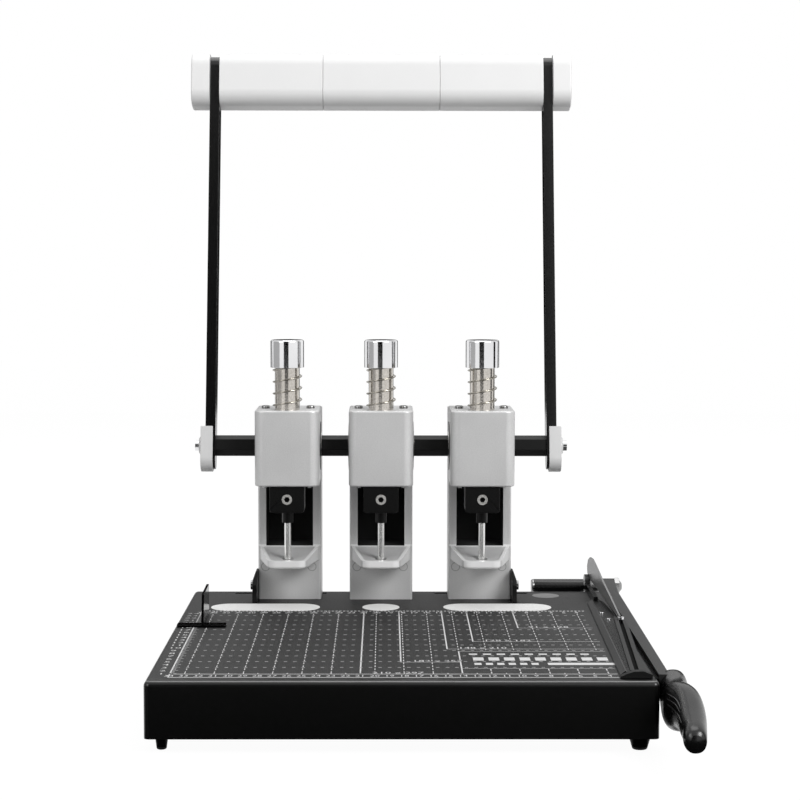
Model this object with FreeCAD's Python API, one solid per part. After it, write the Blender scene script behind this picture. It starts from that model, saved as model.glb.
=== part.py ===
"""Three-head archive punch on a sheet-metal bed, with a side trimmer.

Frame: Z = 0 is the bed's top face, Y = 0 the paper gauge plane (the towers' front faces), X = 0 the
middle head. The operator stands at -Y. Everything is in millimetres, and one STEP file is one piece
or one group of like pieces.
"""

import FreeCAD, Part
import math
import os

from FreeCAD import Vector

# ---------------------------------------------------------------- fits and clearances
RUNNING = 0.05          # radial clearance of a round journal, ram or pin
FACE_GAP = 0.3          # between flat faces that pass each other
SLIDE_GAP = 0.2         # under a sliding head
SEAT_GAP = 0.05         # between a spring's end and its seat

# ---------------------------------------------------------------- bed
BED_LEFT = -159.0
BED_RIGHT = 188.5
BED_FRONT = -320.5
BED_REAR = 42.5
BED_HEIGHT = 39.5
SHEET = 1.6             # sheet-metal thickness
CORNER_R = 4.0          # outside radius of the upright corners
BEND_R = 3.8            # outside radius of the folded top edges
RETURN_WIDTH = 22.0     # inward flange round the underside
FOOT_HEIGHT = 10.5
FOOT_INSET = 16.5       # from the front and rear faces
LEFT_FOOT_X = -148.5
RIGHT_FOOT_X = 177.0
SMALL_FOOT_R = 4.75     # left pair
SMALL_FOOT_TAPER = 1.4
LARGE_FOOT_R = 8.0      # right pair
LARGE_FOOT_TAPER = 3.0
FOOT_EDGE_R = 1.2
LEDGER = 1.6            # cutting strip let into the right edge
LEDGER_HEIGHT = 12.0
LEDGER_PROUD = 0.1
LEDGER_ENDS = (-312.0, 34.0)
BACKING = 2.0           # sheet behind the cutting strip

# ---------------------------------------------------------------- cutting pads and their tray
PAD_Y = -37.5
PAD_R = 15.9
LEFT_PAD_ENDS = (-138.0, -49.4)
RIGHT_PAD_ENDS = (50.5, 138.6)
MIDDLE_PAD_R = 15.25
PAD_PROUD = 0.3
PAD_THICKNESS = 6.1
PAD_SIDE_GAP = 0.15
TRAY_HALF_LENGTH = 148.0
TRAY_WALL = 2.5
TRAY_SIDE_GAP = 1.3

# ---------------------------------------------------------------- heads
LEFT_HEAD_X = -75.8
RIGHT_HEAD_X = 81.9
HEADS = {"left": LEFT_HEAD_X, "middle": 0.0, "right": RIGHT_HEAD_X}
TOWER_WIDTH = 52.0
TOWER_DEPTH = 40.0
TOWER_HEIGHT = 158.0
POST = 6.6              # side posts of the tower, seen from the front
BACK_WALL = 5.0
SILL = 45.0             # bottom of the tower's window
TOWER_EDGE_R = 1.5
LIP_UNDER = 32.5        # paper throat height
LIP_REACH = 45.0
LIP_FRONT_WIDTH = 30.4
LIP_FRONT_TOP = 38.5
LIP_WIDTH = 49.0        # where it leaves the tower
LIP_RIM = 2.4           # width of the raised rim
LIP_DISH = 1.1          # depth of the dish inside the rim
LIP_EDGE_R = 2.0
LIP_CORNER_R = 8.0
LIP_HOLE_R = 5.0
HOUSING_WIDTH = 52.0
HOUSING_FRONT = -47.0
HOUSING_REAR = 12.0
HOUSING_RISE = 2.7      # over the tower's top
HOUSING_HEIGHT = 61.3
HOUSING_SIDE = 4.5
HOUSING_FACE = 3.5
HOUSING_ROOF = 5.0
HOUSING_CORNER_R = 8.0
HOUSING_EDGE_R = 1.5
HOUSING_TOP = TOWER_HEIGHT + HOUSING_RISE
HOUSING_BOTTOM = HOUSING_TOP - HOUSING_HEIGHT

# ---------------------------------------------------------------- rack and pinion drive
SHAFT_Y = -7.0
SHAFT_DROP = 31.7       # below the housing's top
SHAFT_Z = HOUSING_TOP - SHAFT_DROP
SHAFT_FLATS = 15.0
TENON_FLATS = 11.0      # the shaft's ends, through the arms
MODULE = 1.5
PINION_TEETH = 24
PRESSURE_ANGLE = math.radians(20)
FLANK_CLEARANCE = 0.12  # taken off each flank of pinion and rack
PINION_WIDTH = 14.0
JOURNAL_R = 12.0
HUB_R = 14.5
JOURNAL_PROUD = 0.3     # journal past the bush flange
HEX_CLEARANCE = 0.1     # round the hexagonal bar, per side
BUSH_R = 15.0
BUSH_FLANGE_R = 20.0
BUSH_FLANGE = 0.6
RAM_R = 10.0
RACK_FLAT = 8.5         # from the ram's axis to the rack's tooth tips
RAM_TRAVEL = 34.0
PITCH_R = MODULE * PINION_TEETH / 2
TOOTH_PITCH = math.pi * MODULE
RAM_Y = SHAFT_Y - PITCH_R - (RACK_FLAT - MODULE)

# ---------------------------------------------------------------- ram, cap, chuck, pin, spring
CAP_CLEARANCE = 0.1     # over the housing when the ram is fully down
CAP_R = 13.5
CAP_HEIGHT = 22.4
CAP_EDGE_R = 1.6
CAP_RECESS_R = 12.4     # the spring's upper end sits in it
CAP_RECESS = 8.0
CAP_SOCKET_DEPTH = 15.2
CHUCK_WIDTH = 28.0
CHUCK_DEPTH = 24.0
CHUCK_HEIGHT = 21.1
CHUCK_EDGE_R = 3.0
CHUCK_NOSE_R = 4.6
CHUCK_NOSE = 9.2
CHUCK_SPIGOT_R = 6.0
CHUCK_SPIGOT = 6.0
CHUCK_TO_GUIDE = 1.0
PIN_R = 2.7
PIN_TIP = 34.6          # height of the pin's tip at rest
PIN_TIP_RECESS = 0.8
PIN_SCREW_R = 4.2
PIN_SCREW_UP = 10.8     # above the chuck's underside
PIN_SCREW_DEPTH = 6.0
PIN_SCREW_PROUD = 0.4
PIN_SCREW_SOCKET = 4.0
GUIDE_UPPER = 6.6      # thickness of the upper guide plate
GUIDE_LOWER = 7.0
GUIDE_REAR = -12.0
LOWER_GUIDE_RECESS = 0.6
SPRING_R = 11.3         # to the wire's centre
SPRING_WIRE_R = 0.65
SPRING_PITCH = 9.45
SPRING_START = 79.0     # degrees from +X, where the wire leaves the housing's top

# ---------------------------------------------------------------- head fasteners
ROOF_SCREW_X = 18.25
ROOF_SCREW_Y = -18.0
ROOF_SCREW_R = 2.5
ROOF_SCREW_HEAD_R = 3.5
ROOF_SCREW_HEAD = 2.4
ROOF_SCREW_LENGTH = 11.0
GUIDE_SCREW_X = 17.2
GUIDE_SCREW_Y = -36.0
GUIDE_SCREW_R = 1.6
GUIDE_SCREW_HEAD_R = 2.5
GUIDE_SCREW_HEAD = 2.5
BOLT_X = 10.0
BOLT_Y = 30.5
BOLT_R = 2.5
BOLT_IN_TOWER = 14.0
BOLT_HEAD = 4.0
BOLT_HEAD_FLATS = 10.0
SLOT_HALF_WIDTH = 3.0
LEFT_SLOT_ENDS = (-123.8, -45.8)
RIGHT_SLOT_ENDS = (44.9, 123.8)
CLAMP_STRIP_LENGTH = 42.0
CLAMP_STRIP_WIDTH = 13.0
CLAMP_STRIP = 3.0
BRACKET = 3.8
BRACKET_FRONT = -20.0
BRACKET_REAR = 12.0
BRACKET_HEIGHT = 25.5
BRACKET_SHOULDER = 15.0
BRACKET_CHAMFER = 9.0
BRACKET_BEVEL_Z = 18.5  # its outer side leans in from here up
BRACKET_BEVEL_RUN = 2.5
BRACKET_TIP = 1.0       # thickness left at the top
BRACKET_SCREW_Y = 5.0
BRACKET_SCREW_Z = 11.2
BRACKET_SCREW_R = 2.0
BRACKET_SCREW_HEAD_R = 3.75
BRACKET_SCREW_HEAD = 2.9
BRACKET_SCREW_LENGTH = 12.0

# ---------------------------------------------------------------- lever
LEAN = 12.0             # degrees, backwards from upright at rest
ARM_THICKNESS = 8.2
ARM_DEPTH = 18.0
ARM_BELOW = 19.5
ARM_LENGTH = 308.4      # shaft axis to grip axis
GRIP_HALF_LENGTH = 159.1
GRIP_CAP_LENGTH = 15.2  # outside each arm
ARM_INNER = GRIP_HALF_LENGTH - GRIP_CAP_LENGTH - ARM_THICKNESS
GRIP_HEIGHT = 45.0
GRIP_DEPTH = 34.0
GRIP_ROUND = 12.0
GRIP_SEAMS = (-49.0, 49.0)
GRIP_SEAM_GAP = 0.25
GRIP_CAP_EDGE_R = 1.2
GRIP_ROD_R = 5.0
GRIP_ROD_INSET = 6.0
COVER_WALL = 2.0
COVER_FACE = 3.8
COVER_SHORT = 2.0       # its rim stops this far from the arm's inner face
COVER_TOP = 15.0
COVER_BOSS_R = 8.5
COVER_BOSS_TOP_R = 6.0
COVER_BOSS = 1.8
HUB_SCREW_R = 3.0
HUB_SCREW_HEAD_R = 4.35
HUB_SCREW_HEAD = 3.2
HUB_SCREW_IN_SHAFT = 12.0
HUB_SCREW_SOCKET = 5.0

# ---------------------------------------------------------------- side stop
STOP_REAR = -115.0
STOP_BAR_WIDTH = 11.0
STOP_GAP = 0.1          # over the bed
STOP_LEFT = -156.7
STOP_BAR_LENGTH = 37.7
STOP_CORNER_R = 1.5
STOP_PLATE_FOOT = 6.0
STOP_SHEET = 1.8
STOP_PLATE_X = -138.3
STOP_PLATE = 2.0
STOP_PLATE_REAR = -73.0
STOP_PLATE_TOP = 25.0
STOP_PLATE_SLOPE = 1.0

# ---------------------------------------------------------------- trimmer
PIVOT_Y = 54.5
PIVOT_Z = 2.0
PIVOT_R = 4.0
PIVOT_TUBE_R = 6.2
PIVOT_TUBE_ENDS = (131.0, 173.5)
PIVOT_HEAD = 2.5
PIVOT_HEAD_EDGE_R = 2.0
PIVOT_SPACER_R = 6.5
PIVOT_NUT_FLATS = 13.0
PIVOT_NUT = 4.0
PIVOT_DOME = 2.4
PIVOT_DOME_R = 5.6
PLATE_ENDS = (134.0, 171.0)
PLATE_THICKNESS = 2.5
PLATE_TOP = -4.0
PLATE_BOTTOM = -32.0
WEB_THICKNESS = 4.0
BLADE = 1.5
BLADE_ENDS = (-305.0, 30.0)
BLADE_TOP = -3.0
BLADE_HEEL = -12.0
BLADE_BELLY = -24.0
BLADE_TOE = -17.0
ARM_BAR = 9.5           # thickness at the pivot
ARM_BAR_TIP = 7.2       # thickness at the front
ARM_BAR_FRONT = -300.0
ARM_BAR_HUB_R = 6.7
ARM_BAR_TOP_REAR = 2.6
ARM_BAR_TOP_FRONT = 0.4
ARM_BAR_BOTTOM = -13.0
BLADE_SCREW_YS = (-10.0, -95.0, -180.0, -265.0)
BLADE_SCREW_Z = -7.0
BLADE_SCREW_R = 2.0
BLADE_SCREW_HEAD_R = 3.6
BLADE_SCREW_HEAD = 1.8
BLADE_SCREW_SEAT = 5.2  # depth of metal under each sunk head
BLADE_SCREW_SINK_R = 4.0
GRIP_OVAL_POINTS = 16
GRIP_SECTIONS = (        # y, x centre, z centre, half width, half height along the trimmer's handle
    (-284.0, 201.6, -6.0, 7.6, 6.4),
    (-290.0, 201.2, -7.2, 8.8, 8.9),
    (-298.0, 200.6, -10.0, 9.7, 11.4),
    (-308.0, 199.6, -14.2, 9.6, 14.6),
    (-318.0, 199.4, -16.5, 9.8, 16.7),
    (-328.0, 201.4, -15.6, 10.6, 16.8),
    (-340.0, 203.2, -14.0, 10.1, 14.8),
    (-354.0, 203.6, -14.8, 9.6, 12.6),
    (-370.0, 202.8, -17.4, 9.1, 10.8),
    (-383.0, 202.0, -19.8, 8.0, 9.9),
    (-392.0, 201.0, -21.2, 7.7, 9.0),
    (-397.5, 200.8, -22.2, 6.6, 7.6),
    (-400.0, 200.8, -22.4, 3.6, 4.4),
)

# ---------------------------------------------------------------- hold-down clamp beside the blade
CLAMP_RING_R = 10.3
CLAMP_RING_ENDS = (174.5, 178.0)
CLAMP_NECK_TOP = 6.0
CLAMP_FRONT = -305.0
FLANGE_REAR = -23.0
FLANGE_SLANT = 0.022    # sideways run per length, against the bed's edge
FLANGE_PROFILE = (       # x and z at the front
    (163.2, 0.3), (163.2, 1.2), (166.8, 3.9), (168.0, 3.0), (168.0, 0.3),
)
PANEL_TOP = 3.0
PANEL_OUTLINE = (        # x and y of the flat panel between the flange and the channel
    (167.0, CLAMP_FRONT), (170.5, CLAMP_FRONT), (181.9, -110.0), (183.7, -88.0), (183.9, -66.0),
    (183.2, -45.0), (181.4, -27.0), (178.4, -14.0), (175.6, -9.5), (173.6, -11.0), (172.6, -16.0),
    (172.6, FLANGE_REAR),
)
CHANNEL_REAR = -110.0
CHANNEL_SLANT = 0.058
CHANNEL_PROFILE = (      # x and z at the front: rim, groove, rim
    (170.0, 0.3), (170.0, 4.5), (172.9, 4.5), (172.9, 1.6),
    (176.0, 1.6), (176.0, 4.5), (179.1, 4.5), (179.1, 0.3),
)
CLAMP_CAP = 6.5
CLAMP_CAP_PROFILE = (
    (162.5, 0.3), (162.5, 0.9), (167.0, 3.1), (172.0, 4.7), (178.5, 4.9), (184.6, 2.4), (184.6, 0.3),
)
PRESS_PLATE = 1.5
PRESS_PLATE_TURN = 2.26  # degrees, its front end turned towards the blade
PRESS_PLATE_OUTLINE = (  # y and z
    (-112.0, 1.6), (-100.0, 4.6), (50.0, 9.0), (64.0, 12.0), (66.0, 18.0), (61.0, 24.0), (50.0, 27.8),
    (36.0, 28.5), (20.0, 26.4), (-25.0, 18.9), (-60.0, 14.0), (-97.0, 8.4), (-112.0, 6.4),
)
PRESS_PLATE_LOBE_R = 8.5
PRESS_PLATE_BORE_PLAY = 0.2
STUD_SCREWS = ((174.8, -80.0), (177.5, -107.0))   # two small screws in the panel
STUD_Z = (2.0, 3.9)
STUD_R = 1.7
END_SCREW_Y = -116.0
END_SCREW_R = 1.4
END_SCREW_HEAD_R = 2.7
END_SCREW_HEAD = 2.4


# ---------------------------------------------------------------- helpers
def box(x0, x1, y0, y1, z0, z1):
    return Part.makeBox(x1 - x0, y1 - y0, z1 - z0, Vector(x0, y0, z0))


def rod_x(x0, x1, y, z, r):
    return Part.makeCylinder(r, x1 - x0, Vector(x0, y, z), Vector(1, 0, 0))


def rod_z(x, y, z0, z1, r):
    return Part.makeCylinder(r, z1 - z0, Vector(x, y, z0), Vector(0, 0, 1))


def cone_x(x0, x1, y, z, r0, r1):
    return Part.makeCone(r0, r1, abs(x1 - x0), Vector(x0, y, z), Vector(1 if x1 > x0 else -1, 0, 0))


def face_of(points):
    return Part.Face(Part.makePolygon(points + points[:1]))


def prism_x(yz, x0, x1):
    """An outline in Y and Z, carried from x0 to x1."""
    return face_of([Vector(x0, y, z) for y, z in yz]).extrude(Vector(x1 - x0, 0, 0))


def prism_z(xy, z0, z1):
    return face_of([Vector(x, y, z0) for x, y in xy]).extrude(Vector(0, 0, z1 - z0))


def hex_x(x0, x1, y, z, flats):
    """A hexagonal bar along X with two of its flats facing front and rear."""
    r = flats / 2 / math.cos(math.pi / 6)
    corners = [(y + r * math.cos(math.radians(30 + 60 * k)), z + r * math.sin(math.radians(30 + 60 * k)))
               for k in range(6)]
    return prism_x(corners, x0, x1)


def hex_z(x, y, z0, z1, flats):
    r = flats / 2 / math.cos(math.pi / 6)
    corners = [(x + r * math.cos(math.pi / 3 * k), y + r * math.sin(math.pi / 3 * k)) for k in range(6)]
    return prism_z(corners, z0, z1)


def stadium(x0, x1, y, r, z0, z1):
    """A round-ended plate whose ends reach x0 and x1."""
    middle = box(x0 + r, x1 - r, y - r, y + r, z0, z1)
    return middle.fuse([rod_z(x0 + r, y, z0, z1, r), rod_z(x1 - r, y, z0, z1, r)]).removeSplitter()


def edges_where(shape, test):
    return [e for e in shape.Edges if test(e)]


def along(edge, axis):
    if edge.Curve.TypeId != "Part::GeomLine":
        return False
    d = edge.Vertexes[-1].Point.sub(edge.Vertexes[0].Point)
    return abs(getattr(d, axis)) > 0.999 * d.Length


def level(edge, z):
    return all(abs(v.Point.z - z) < 1e-6 for v in edge.Vertexes)


def moved(shape, x):
    out = shape.copy()
    out.translate(Vector(x, 0, 0))
    return out


def mirrored(shape):
    return shape.mirror(Vector(0, 0, 0), Vector(1, 0, 0))


def leaned(shape):
    """Turns an upright lever piece back to its place at rest."""
    out = shape.copy()
    out.rotate(Vector(0, SHAFT_Y, SHAFT_Z), Vector(1, 0, 0), -LEAN)
    return out


def export(node, solids):
    shape = solids if isinstance(solids, Part.Shape) else Part.makeCompound(solids)
    shape.exportStep("parts/%s.step" % node)


# ---------------------------------------------------------------- bed
def rounded_box(x0, x1, y0, y1, z0, z1, corner, bend):
    """A box with rounded upright corners and rounded top edges."""
    body = box(x0, x1, y0, y1, z0, z1)
    body = body.makeFillet(corner, edges_where(body, lambda e: along(e, "z")))
    return body.makeFillet(bend, edges_where(body, lambda e: level(e, z1)))


def pad_windows(grow, z0, z1):
    """The three pad outlines, each side moved out by grow."""
    left = stadium(LEFT_PAD_ENDS[0] - grow, LEFT_PAD_ENDS[1] + grow, PAD_Y, PAD_R + grow, z0, z1)
    right = stadium(RIGHT_PAD_ENDS[0] - grow, RIGHT_PAD_ENDS[1] + grow, PAD_Y, PAD_R + grow, z0, z1)
    return [left, rod_z(0, PAD_Y, z0, z1, MIDDLE_PAD_R + grow), right]


def make_bed():
    outer = rounded_box(BED_LEFT, BED_RIGHT, BED_FRONT, BED_REAR, -BED_HEIGHT, 0, CORNER_R, BEND_R)
    inner = rounded_box(BED_LEFT + SHEET, BED_RIGHT - SHEET, BED_FRONT + SHEET, BED_REAR - SHEET,
                        -BED_HEIGHT + SHEET, -SHEET, CORNER_R - SHEET, BEND_R - SHEET)
    mouth = box(BED_LEFT + RETURN_WIDTH, BED_RIGHT - RETURN_WIDTH, BED_FRONT + RETURN_WIDTH,
                BED_REAR - RETURN_WIDTH, -BED_HEIGHT - 1, -BED_HEIGHT + 2 * SHEET)
    through = (-2 * SHEET, SHEET)
    ledger_x = BED_RIGHT - LEDGER
    rebate = box(ledger_x, BED_RIGHT + 1, *LEDGER_ENDS, -LEDGER_HEIGHT, SHEET)
    backing = box(ledger_x - BACKING, ledger_x, LEDGER_ENDS[0] - BACKING, LEDGER_ENDS[1] + BACKING,
                  -LEDGER_HEIGHT - 2 * BACKING, -SHEET / 2)
    cuts = [mouth, rebate] + pad_windows(0, *through)
    for ends in (LEFT_SLOT_ENDS, RIGHT_SLOT_ENDS):
        cuts.append(stadium(ends[0], ends[1], BOLT_Y, SLOT_HALF_WIDTH, *through))
    for side in (-1, 1):
        cuts.append(rod_z(side * BOLT_X, BOLT_Y, *through, SLOT_HALF_WIDTH))
    return outer.cut(inner).fuse(backing).cut(cuts).removeSplitter()


def make_feet():
    feet = []
    for x, r, taper in ((LEFT_FOOT_X, SMALL_FOOT_R, SMALL_FOOT_TAPER),
                        (RIGHT_FOOT_X, LARGE_FOOT_R, LARGE_FOOT_TAPER)):
        for y in (BED_FRONT + FOOT_INSET, BED_REAR - FOOT_INSET):
            foot = Part.makeCone(r, r - taper, FOOT_HEIGHT, Vector(x, y, -BED_HEIGHT), Vector(0, 0, -1))
            feet.append(foot.makeFillet(FOOT_EDGE_R, edges_where(
                foot, lambda e: level(e, -BED_HEIGHT - FOOT_HEIGHT))))
    return feet


def make_pads():
    return pad_windows(-PAD_SIDE_GAP, PAD_PROUD - PAD_THICKNESS, PAD_PROUD)


def make_pad_tray():
    """A channel under the bed that backs the pads."""
    half = PAD_R + TRAY_SIDE_GAP
    floor = PAD_PROUD - PAD_THICKNESS
    outer = box(-TRAY_HALF_LENGTH, TRAY_HALF_LENGTH, PAD_Y - half - TRAY_WALL, PAD_Y + half + TRAY_WALL,
                floor - TRAY_WALL, -SHEET)
    return outer.cut(box(-TRAY_HALF_LENGTH - 1, TRAY_HALF_LENGTH + 1, PAD_Y - half, PAD_Y + half, floor, 0))


# ---------------------------------------------------------------- heads, all built at X = 0
def bore_of_housing(x0, x1, r):
    return rod_x(x0, x1, SHAFT_Y, SHAFT_Z, r)


def lip_plan(inset, z0, z1):
    half, front, reach = LIP_WIDTH / 2 - inset, LIP_FRONT_WIDTH / 2 - inset, LIP_REACH - inset
    plan = prism_z([(-half, TOWER_EDGE_R), (half, TOWER_EDGE_R), (half, 0), (front, -reach),
                    (-front, -reach), (-half, 0)], z0, z1)
    return plan.makeFillet(LIP_CORNER_R - inset, edges_where(
        plan, lambda e: along(e, "z") and abs(e.Vertexes[0].Point.y + reach) < 1e-6))


def make_lip():
    """The stripper lip: it tapers and slopes forward, and its top is a dish with a rim."""
    body = lip_plan(0, LIP_UNDER, TOWER_HEIGHT)
    body = body.makeFillet(LIP_EDGE_R, edges_where(
        body, lambda e: level(e, LIP_UNDER) and e.CenterOfMass.y < -1))
    above = [(0, SILL), (-LIP_REACH - 1, LIP_FRONT_TOP), (-LIP_REACH - 1, TOWER_HEIGHT + 1),
             (TOWER_EDGE_R + 1, TOWER_HEIGHT + 1), (TOWER_EDGE_R + 1, SILL)]
    body = body.cut(prism_x(above, -LIP_WIDTH, LIP_WIDTH))
    floor = [(0, SILL), (-LIP_RIM, SILL - 2 * LIP_DISH), (-LIP_REACH, LIP_FRONT_TOP - LIP_DISH),
             (-LIP_REACH, SILL)]
    dish = prism_x(floor, -LIP_WIDTH, LIP_WIDTH).common(lip_plan(LIP_RIM, LIP_UNDER, SILL))
    return body.cut(dish)


def make_tower(base_z):
    half = TOWER_WIDTH / 2
    block = box(-half, half, 0, TOWER_DEPTH, base_z, TOWER_HEIGHT)
    block = block.makeFillet(TOWER_EDGE_R, edges_where(block, lambda e: along(e, "z")))
    inside = half - POST
    window = box(-inside, inside, -1, TOWER_DEPTH - BACK_WALL, SILL, TOWER_HEIGHT - HOUSING_ROOF)
    setback = box(-half - 1, half + 1, -1, HOUSING_REAR, HOUSING_BOTTOM, TOWER_HEIGHT + 1)
    tower = block.fuse(make_lip()).removeSplitter()
    cuts = [window, setback, rod_z(0, RAM_Y, 0, TOWER_HEIGHT, LIP_HOLE_R)]
    for side in (-1, 1):
        cuts.append(rod_z(side * BOLT_X, BOLT_Y, base_z - 1, BOLT_IN_TOWER, BOLT_R))
    return tower.cut(cuts)


def make_housing():
    half = HOUSING_WIDTH / 2
    outer = box(-half, half, HOUSING_FRONT, HOUSING_REAR, HOUSING_BOTTOM, HOUSING_TOP)
    outer = outer.makeFillet(HOUSING_CORNER_R, edges_where(
        outer, lambda e: along(e, "z") and abs(e.Vertexes[0].Point.y - HOUSING_FRONT) < 1e-6))
    rims = edges_where(outer, lambda e: (level(e, HOUSING_TOP) or level(e, HOUSING_BOTTOM))
                       and e.CenterOfMass.y < HOUSING_REAR - 1)
    outer = outer.makeFillet(HOUSING_EDGE_R, rims)
    inner = box(-half + HOUSING_SIDE, half - HOUSING_SIDE, HOUSING_FRONT + HOUSING_FACE, HOUSING_REAR + 1,
                HOUSING_BOTTOM - 1, HOUSING_TOP - HOUSING_ROOF)
    inner = inner.makeFillet(HOUSING_CORNER_R - HOUSING_SIDE, edges_where(
        inner, lambda e: along(e, "z") and e.CenterOfMass.y < 0))
    cuts = [inner, rod_z(0, RAM_Y, HOUSING_TOP - HOUSING_ROOF - 1, HOUSING_TOP + 1, RAM_R + RUNNING),
            bore_of_housing(-half - 1, half + 1, BUSH_R)]
    for side in (-1, 1):
        cuts.append(rod_z(side * ROOF_SCREW_X, ROOF_SCREW_Y, HOUSING_TOP - HOUSING_ROOF - 1, HOUSING_TOP + 1,
                          ROOF_SCREW_R))
    return outer.cut(cuts)


def make_bushes():
    """Two flanged bushes, pressed into the housing's side walls."""
    wall = HOUSING_WIDTH / 2
    sleeve = bore_of_housing(wall - HOUSING_SIDE, wall, BUSH_R)
    flange = bore_of_housing(wall, wall + BUSH_FLANGE, BUSH_FLANGE_R)
    bush = sleeve.fuse(flange).cut(bore_of_housing(0, wall * 2, JOURNAL_R + RUNNING))
    return [bush, mirrored(bush)]


def guide_plate(z0, z1):
    half = HOUSING_WIDTH / 2 - HOUSING_SIDE
    front = HOUSING_FRONT + HOUSING_FACE
    plate = box(-half, half, front, GUIDE_REAR, z0, z1)
    plate = plate.makeFillet(HOUSING_CORNER_R - HOUSING_SIDE, edges_where(
        plate, lambda e: along(e, "z") and abs(e.Vertexes[0].Point.y - front) < 1e-6))
    return plate.cut(rod_z(0, RAM_Y, z0 - 1, z1 + 1, RAM_R + RUNNING))


def make_ram_guides():
    """Two bored plates inside the housing that guide the ram above and below the pinion."""
    ceiling = HOUSING_TOP - HOUSING_ROOF
    upper = guide_plate(ceiling - GUIDE_UPPER, ceiling)
    floor = HOUSING_BOTTOM + LOWER_GUIDE_RECESS
    lower = guide_plate(floor, floor + GUIDE_LOWER)
    for side in (-1, 1):
        upper = upper.cut(rod_z(side * ROOF_SCREW_X, ROOF_SCREW_Y, HOUSING_TOP - ROOF_SCREW_LENGTH,
                                HOUSING_TOP, ROOF_SCREW_R))
        lower = lower.cut(rod_z(side * GUIDE_SCREW_X, GUIDE_SCREW_Y, floor - 1, floor + GUIDE_LOWER - 1,
                                GUIDE_SCREW_R))
    return [upper, lower]


def make_head_screws(sliding):
    """Roof screws, lower guide screws, and the bed bolts with their clamp strip under the bed."""
    drop = SLIDE_GAP if sliding else 0.0
    under = -SHEET - drop
    floor = HOUSING_BOTTOM + LOWER_GUIDE_RECESS
    strip = box(-CLAMP_STRIP_LENGTH / 2, CLAMP_STRIP_LENGTH / 2, BOLT_Y - CLAMP_STRIP_WIDTH / 2,
                BOLT_Y + CLAMP_STRIP_WIDTH / 2, under - CLAMP_STRIP, under)
    solids = []
    for side in (-1, 1):
        x, y = side * ROOF_SCREW_X, ROOF_SCREW_Y
        head = rod_z(x, y, HOUSING_TOP, HOUSING_TOP + ROOF_SCREW_HEAD, ROOF_SCREW_HEAD_R)
        head = head.makeFillet(ROOF_SCREW_HEAD / 2, edges_where(
            head, lambda e: level(e, HOUSING_TOP + ROOF_SCREW_HEAD)))
        solids.append(head.fuse(rod_z(x, y, HOUSING_TOP - ROOF_SCREW_LENGTH, HOUSING_TOP, ROOF_SCREW_R)))
        x, y = side * GUIDE_SCREW_X, GUIDE_SCREW_Y
        head = rod_z(x, y, floor - GUIDE_SCREW_HEAD, floor, GUIDE_SCREW_HEAD_R)
        solids.append(head.fuse(rod_z(x, y, floor, floor + GUIDE_LOWER - 1, GUIDE_SCREW_R)))
        x = side * BOLT_X
        bolt = rod_z(x, BOLT_Y, under - CLAMP_STRIP, BOLT_IN_TOWER, BOLT_R)
        bolt_head = hex_z(x, BOLT_Y, under - CLAMP_STRIP - BOLT_HEAD, under - CLAMP_STRIP, BOLT_HEAD_FLATS)
        solids.append(bolt.fuse(bolt_head))
        strip = strip.cut(rod_z(x, BOLT_Y, under - CLAMP_STRIP - 1, under + 1, BOLT_R))
    return solids + [strip]


def make_bracket():
    """Black guide bracket on a sliding head's outer side, here on its -X side."""
    outline = [(BRACKET_FRONT, SLIDE_GAP), (BRACKET_REAR, SLIDE_GAP), (BRACKET_REAR, BRACKET_SHOULDER),
               (BRACKET_REAR - BRACKET_CHAMFER, BRACKET_HEIGHT),
               (BRACKET_FRONT + BRACKET_CHAMFER, BRACKET_HEIGHT), (BRACKET_FRONT, BRACKET_SHOULDER)]
    wall = -TOWER_WIDTH / 2
    plate = prism_x(outline, wall - BRACKET, wall)
    bevel = [Vector(wall - BRACKET - 1, BRACKET_FRONT - 1, BRACKET_BEVEL_Z - BRACKET_BEVEL_RUN),
             Vector(wall - BRACKET - 1, BRACKET_FRONT - 1, BRACKET_HEIGHT + 1),
             Vector(wall - BRACKET_TIP, BRACKET_FRONT - 1, BRACKET_HEIGHT + 1),
             Vector(wall - BRACKET, BRACKET_FRONT - 1, BRACKET_BEVEL_Z)]
    plate = plate.cut(face_of(bevel).extrude(Vector(0, BRACKET_REAR - BRACKET_FRONT + 2, 0)))
    return plate.cut(rod_x(wall - BRACKET - 1, wall + 1, BRACKET_SCREW_Y, BRACKET_SCREW_Z, BRACKET_SCREW_R))


def bracket_screw_hole():
    wall = -TOWER_WIDTH / 2
    return rod_x(wall - 1, wall - BRACKET + BRACKET_SCREW_LENGTH, BRACKET_SCREW_Y, BRACKET_SCREW_Z,
                 BRACKET_SCREW_R)


def make_bracket_screw():
    outer = -TOWER_WIDTH / 2 - BRACKET
    head = rod_x(outer - BRACKET_SCREW_HEAD, outer, BRACKET_SCREW_Y, BRACKET_SCREW_Z, BRACKET_SCREW_HEAD_R)
    socket = hex_x(outer - BRACKET_SCREW_HEAD - 1, outer - BRACKET_SCREW_HEAD / 2, BRACKET_SCREW_Y,
                   BRACKET_SCREW_Z, BRACKET_SCREW_HEAD_R)
    shank = rod_x(outer, outer + BRACKET_SCREW_LENGTH, BRACKET_SCREW_Y, BRACKET_SCREW_Z, BRACKET_SCREW_R)
    return head.cut(socket).fuse(shank)


# ---------------------------------------------------------------- rack and pinion
def involute(angle):
    return math.tan(angle) - angle


def half_tooth_angle(r):
    """Half the angle that a pinion tooth fills at radius r."""
    base_r = PITCH_R * math.cos(PRESSURE_ANGLE)
    at_r = math.acos(min(1.0, base_r / r))
    at_pitch = math.pi / 2 / PINION_TEETH - FLANK_CLEARANCE / PITCH_R
    return at_pitch + involute(PRESSURE_ANGLE) - involute(at_r)


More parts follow.
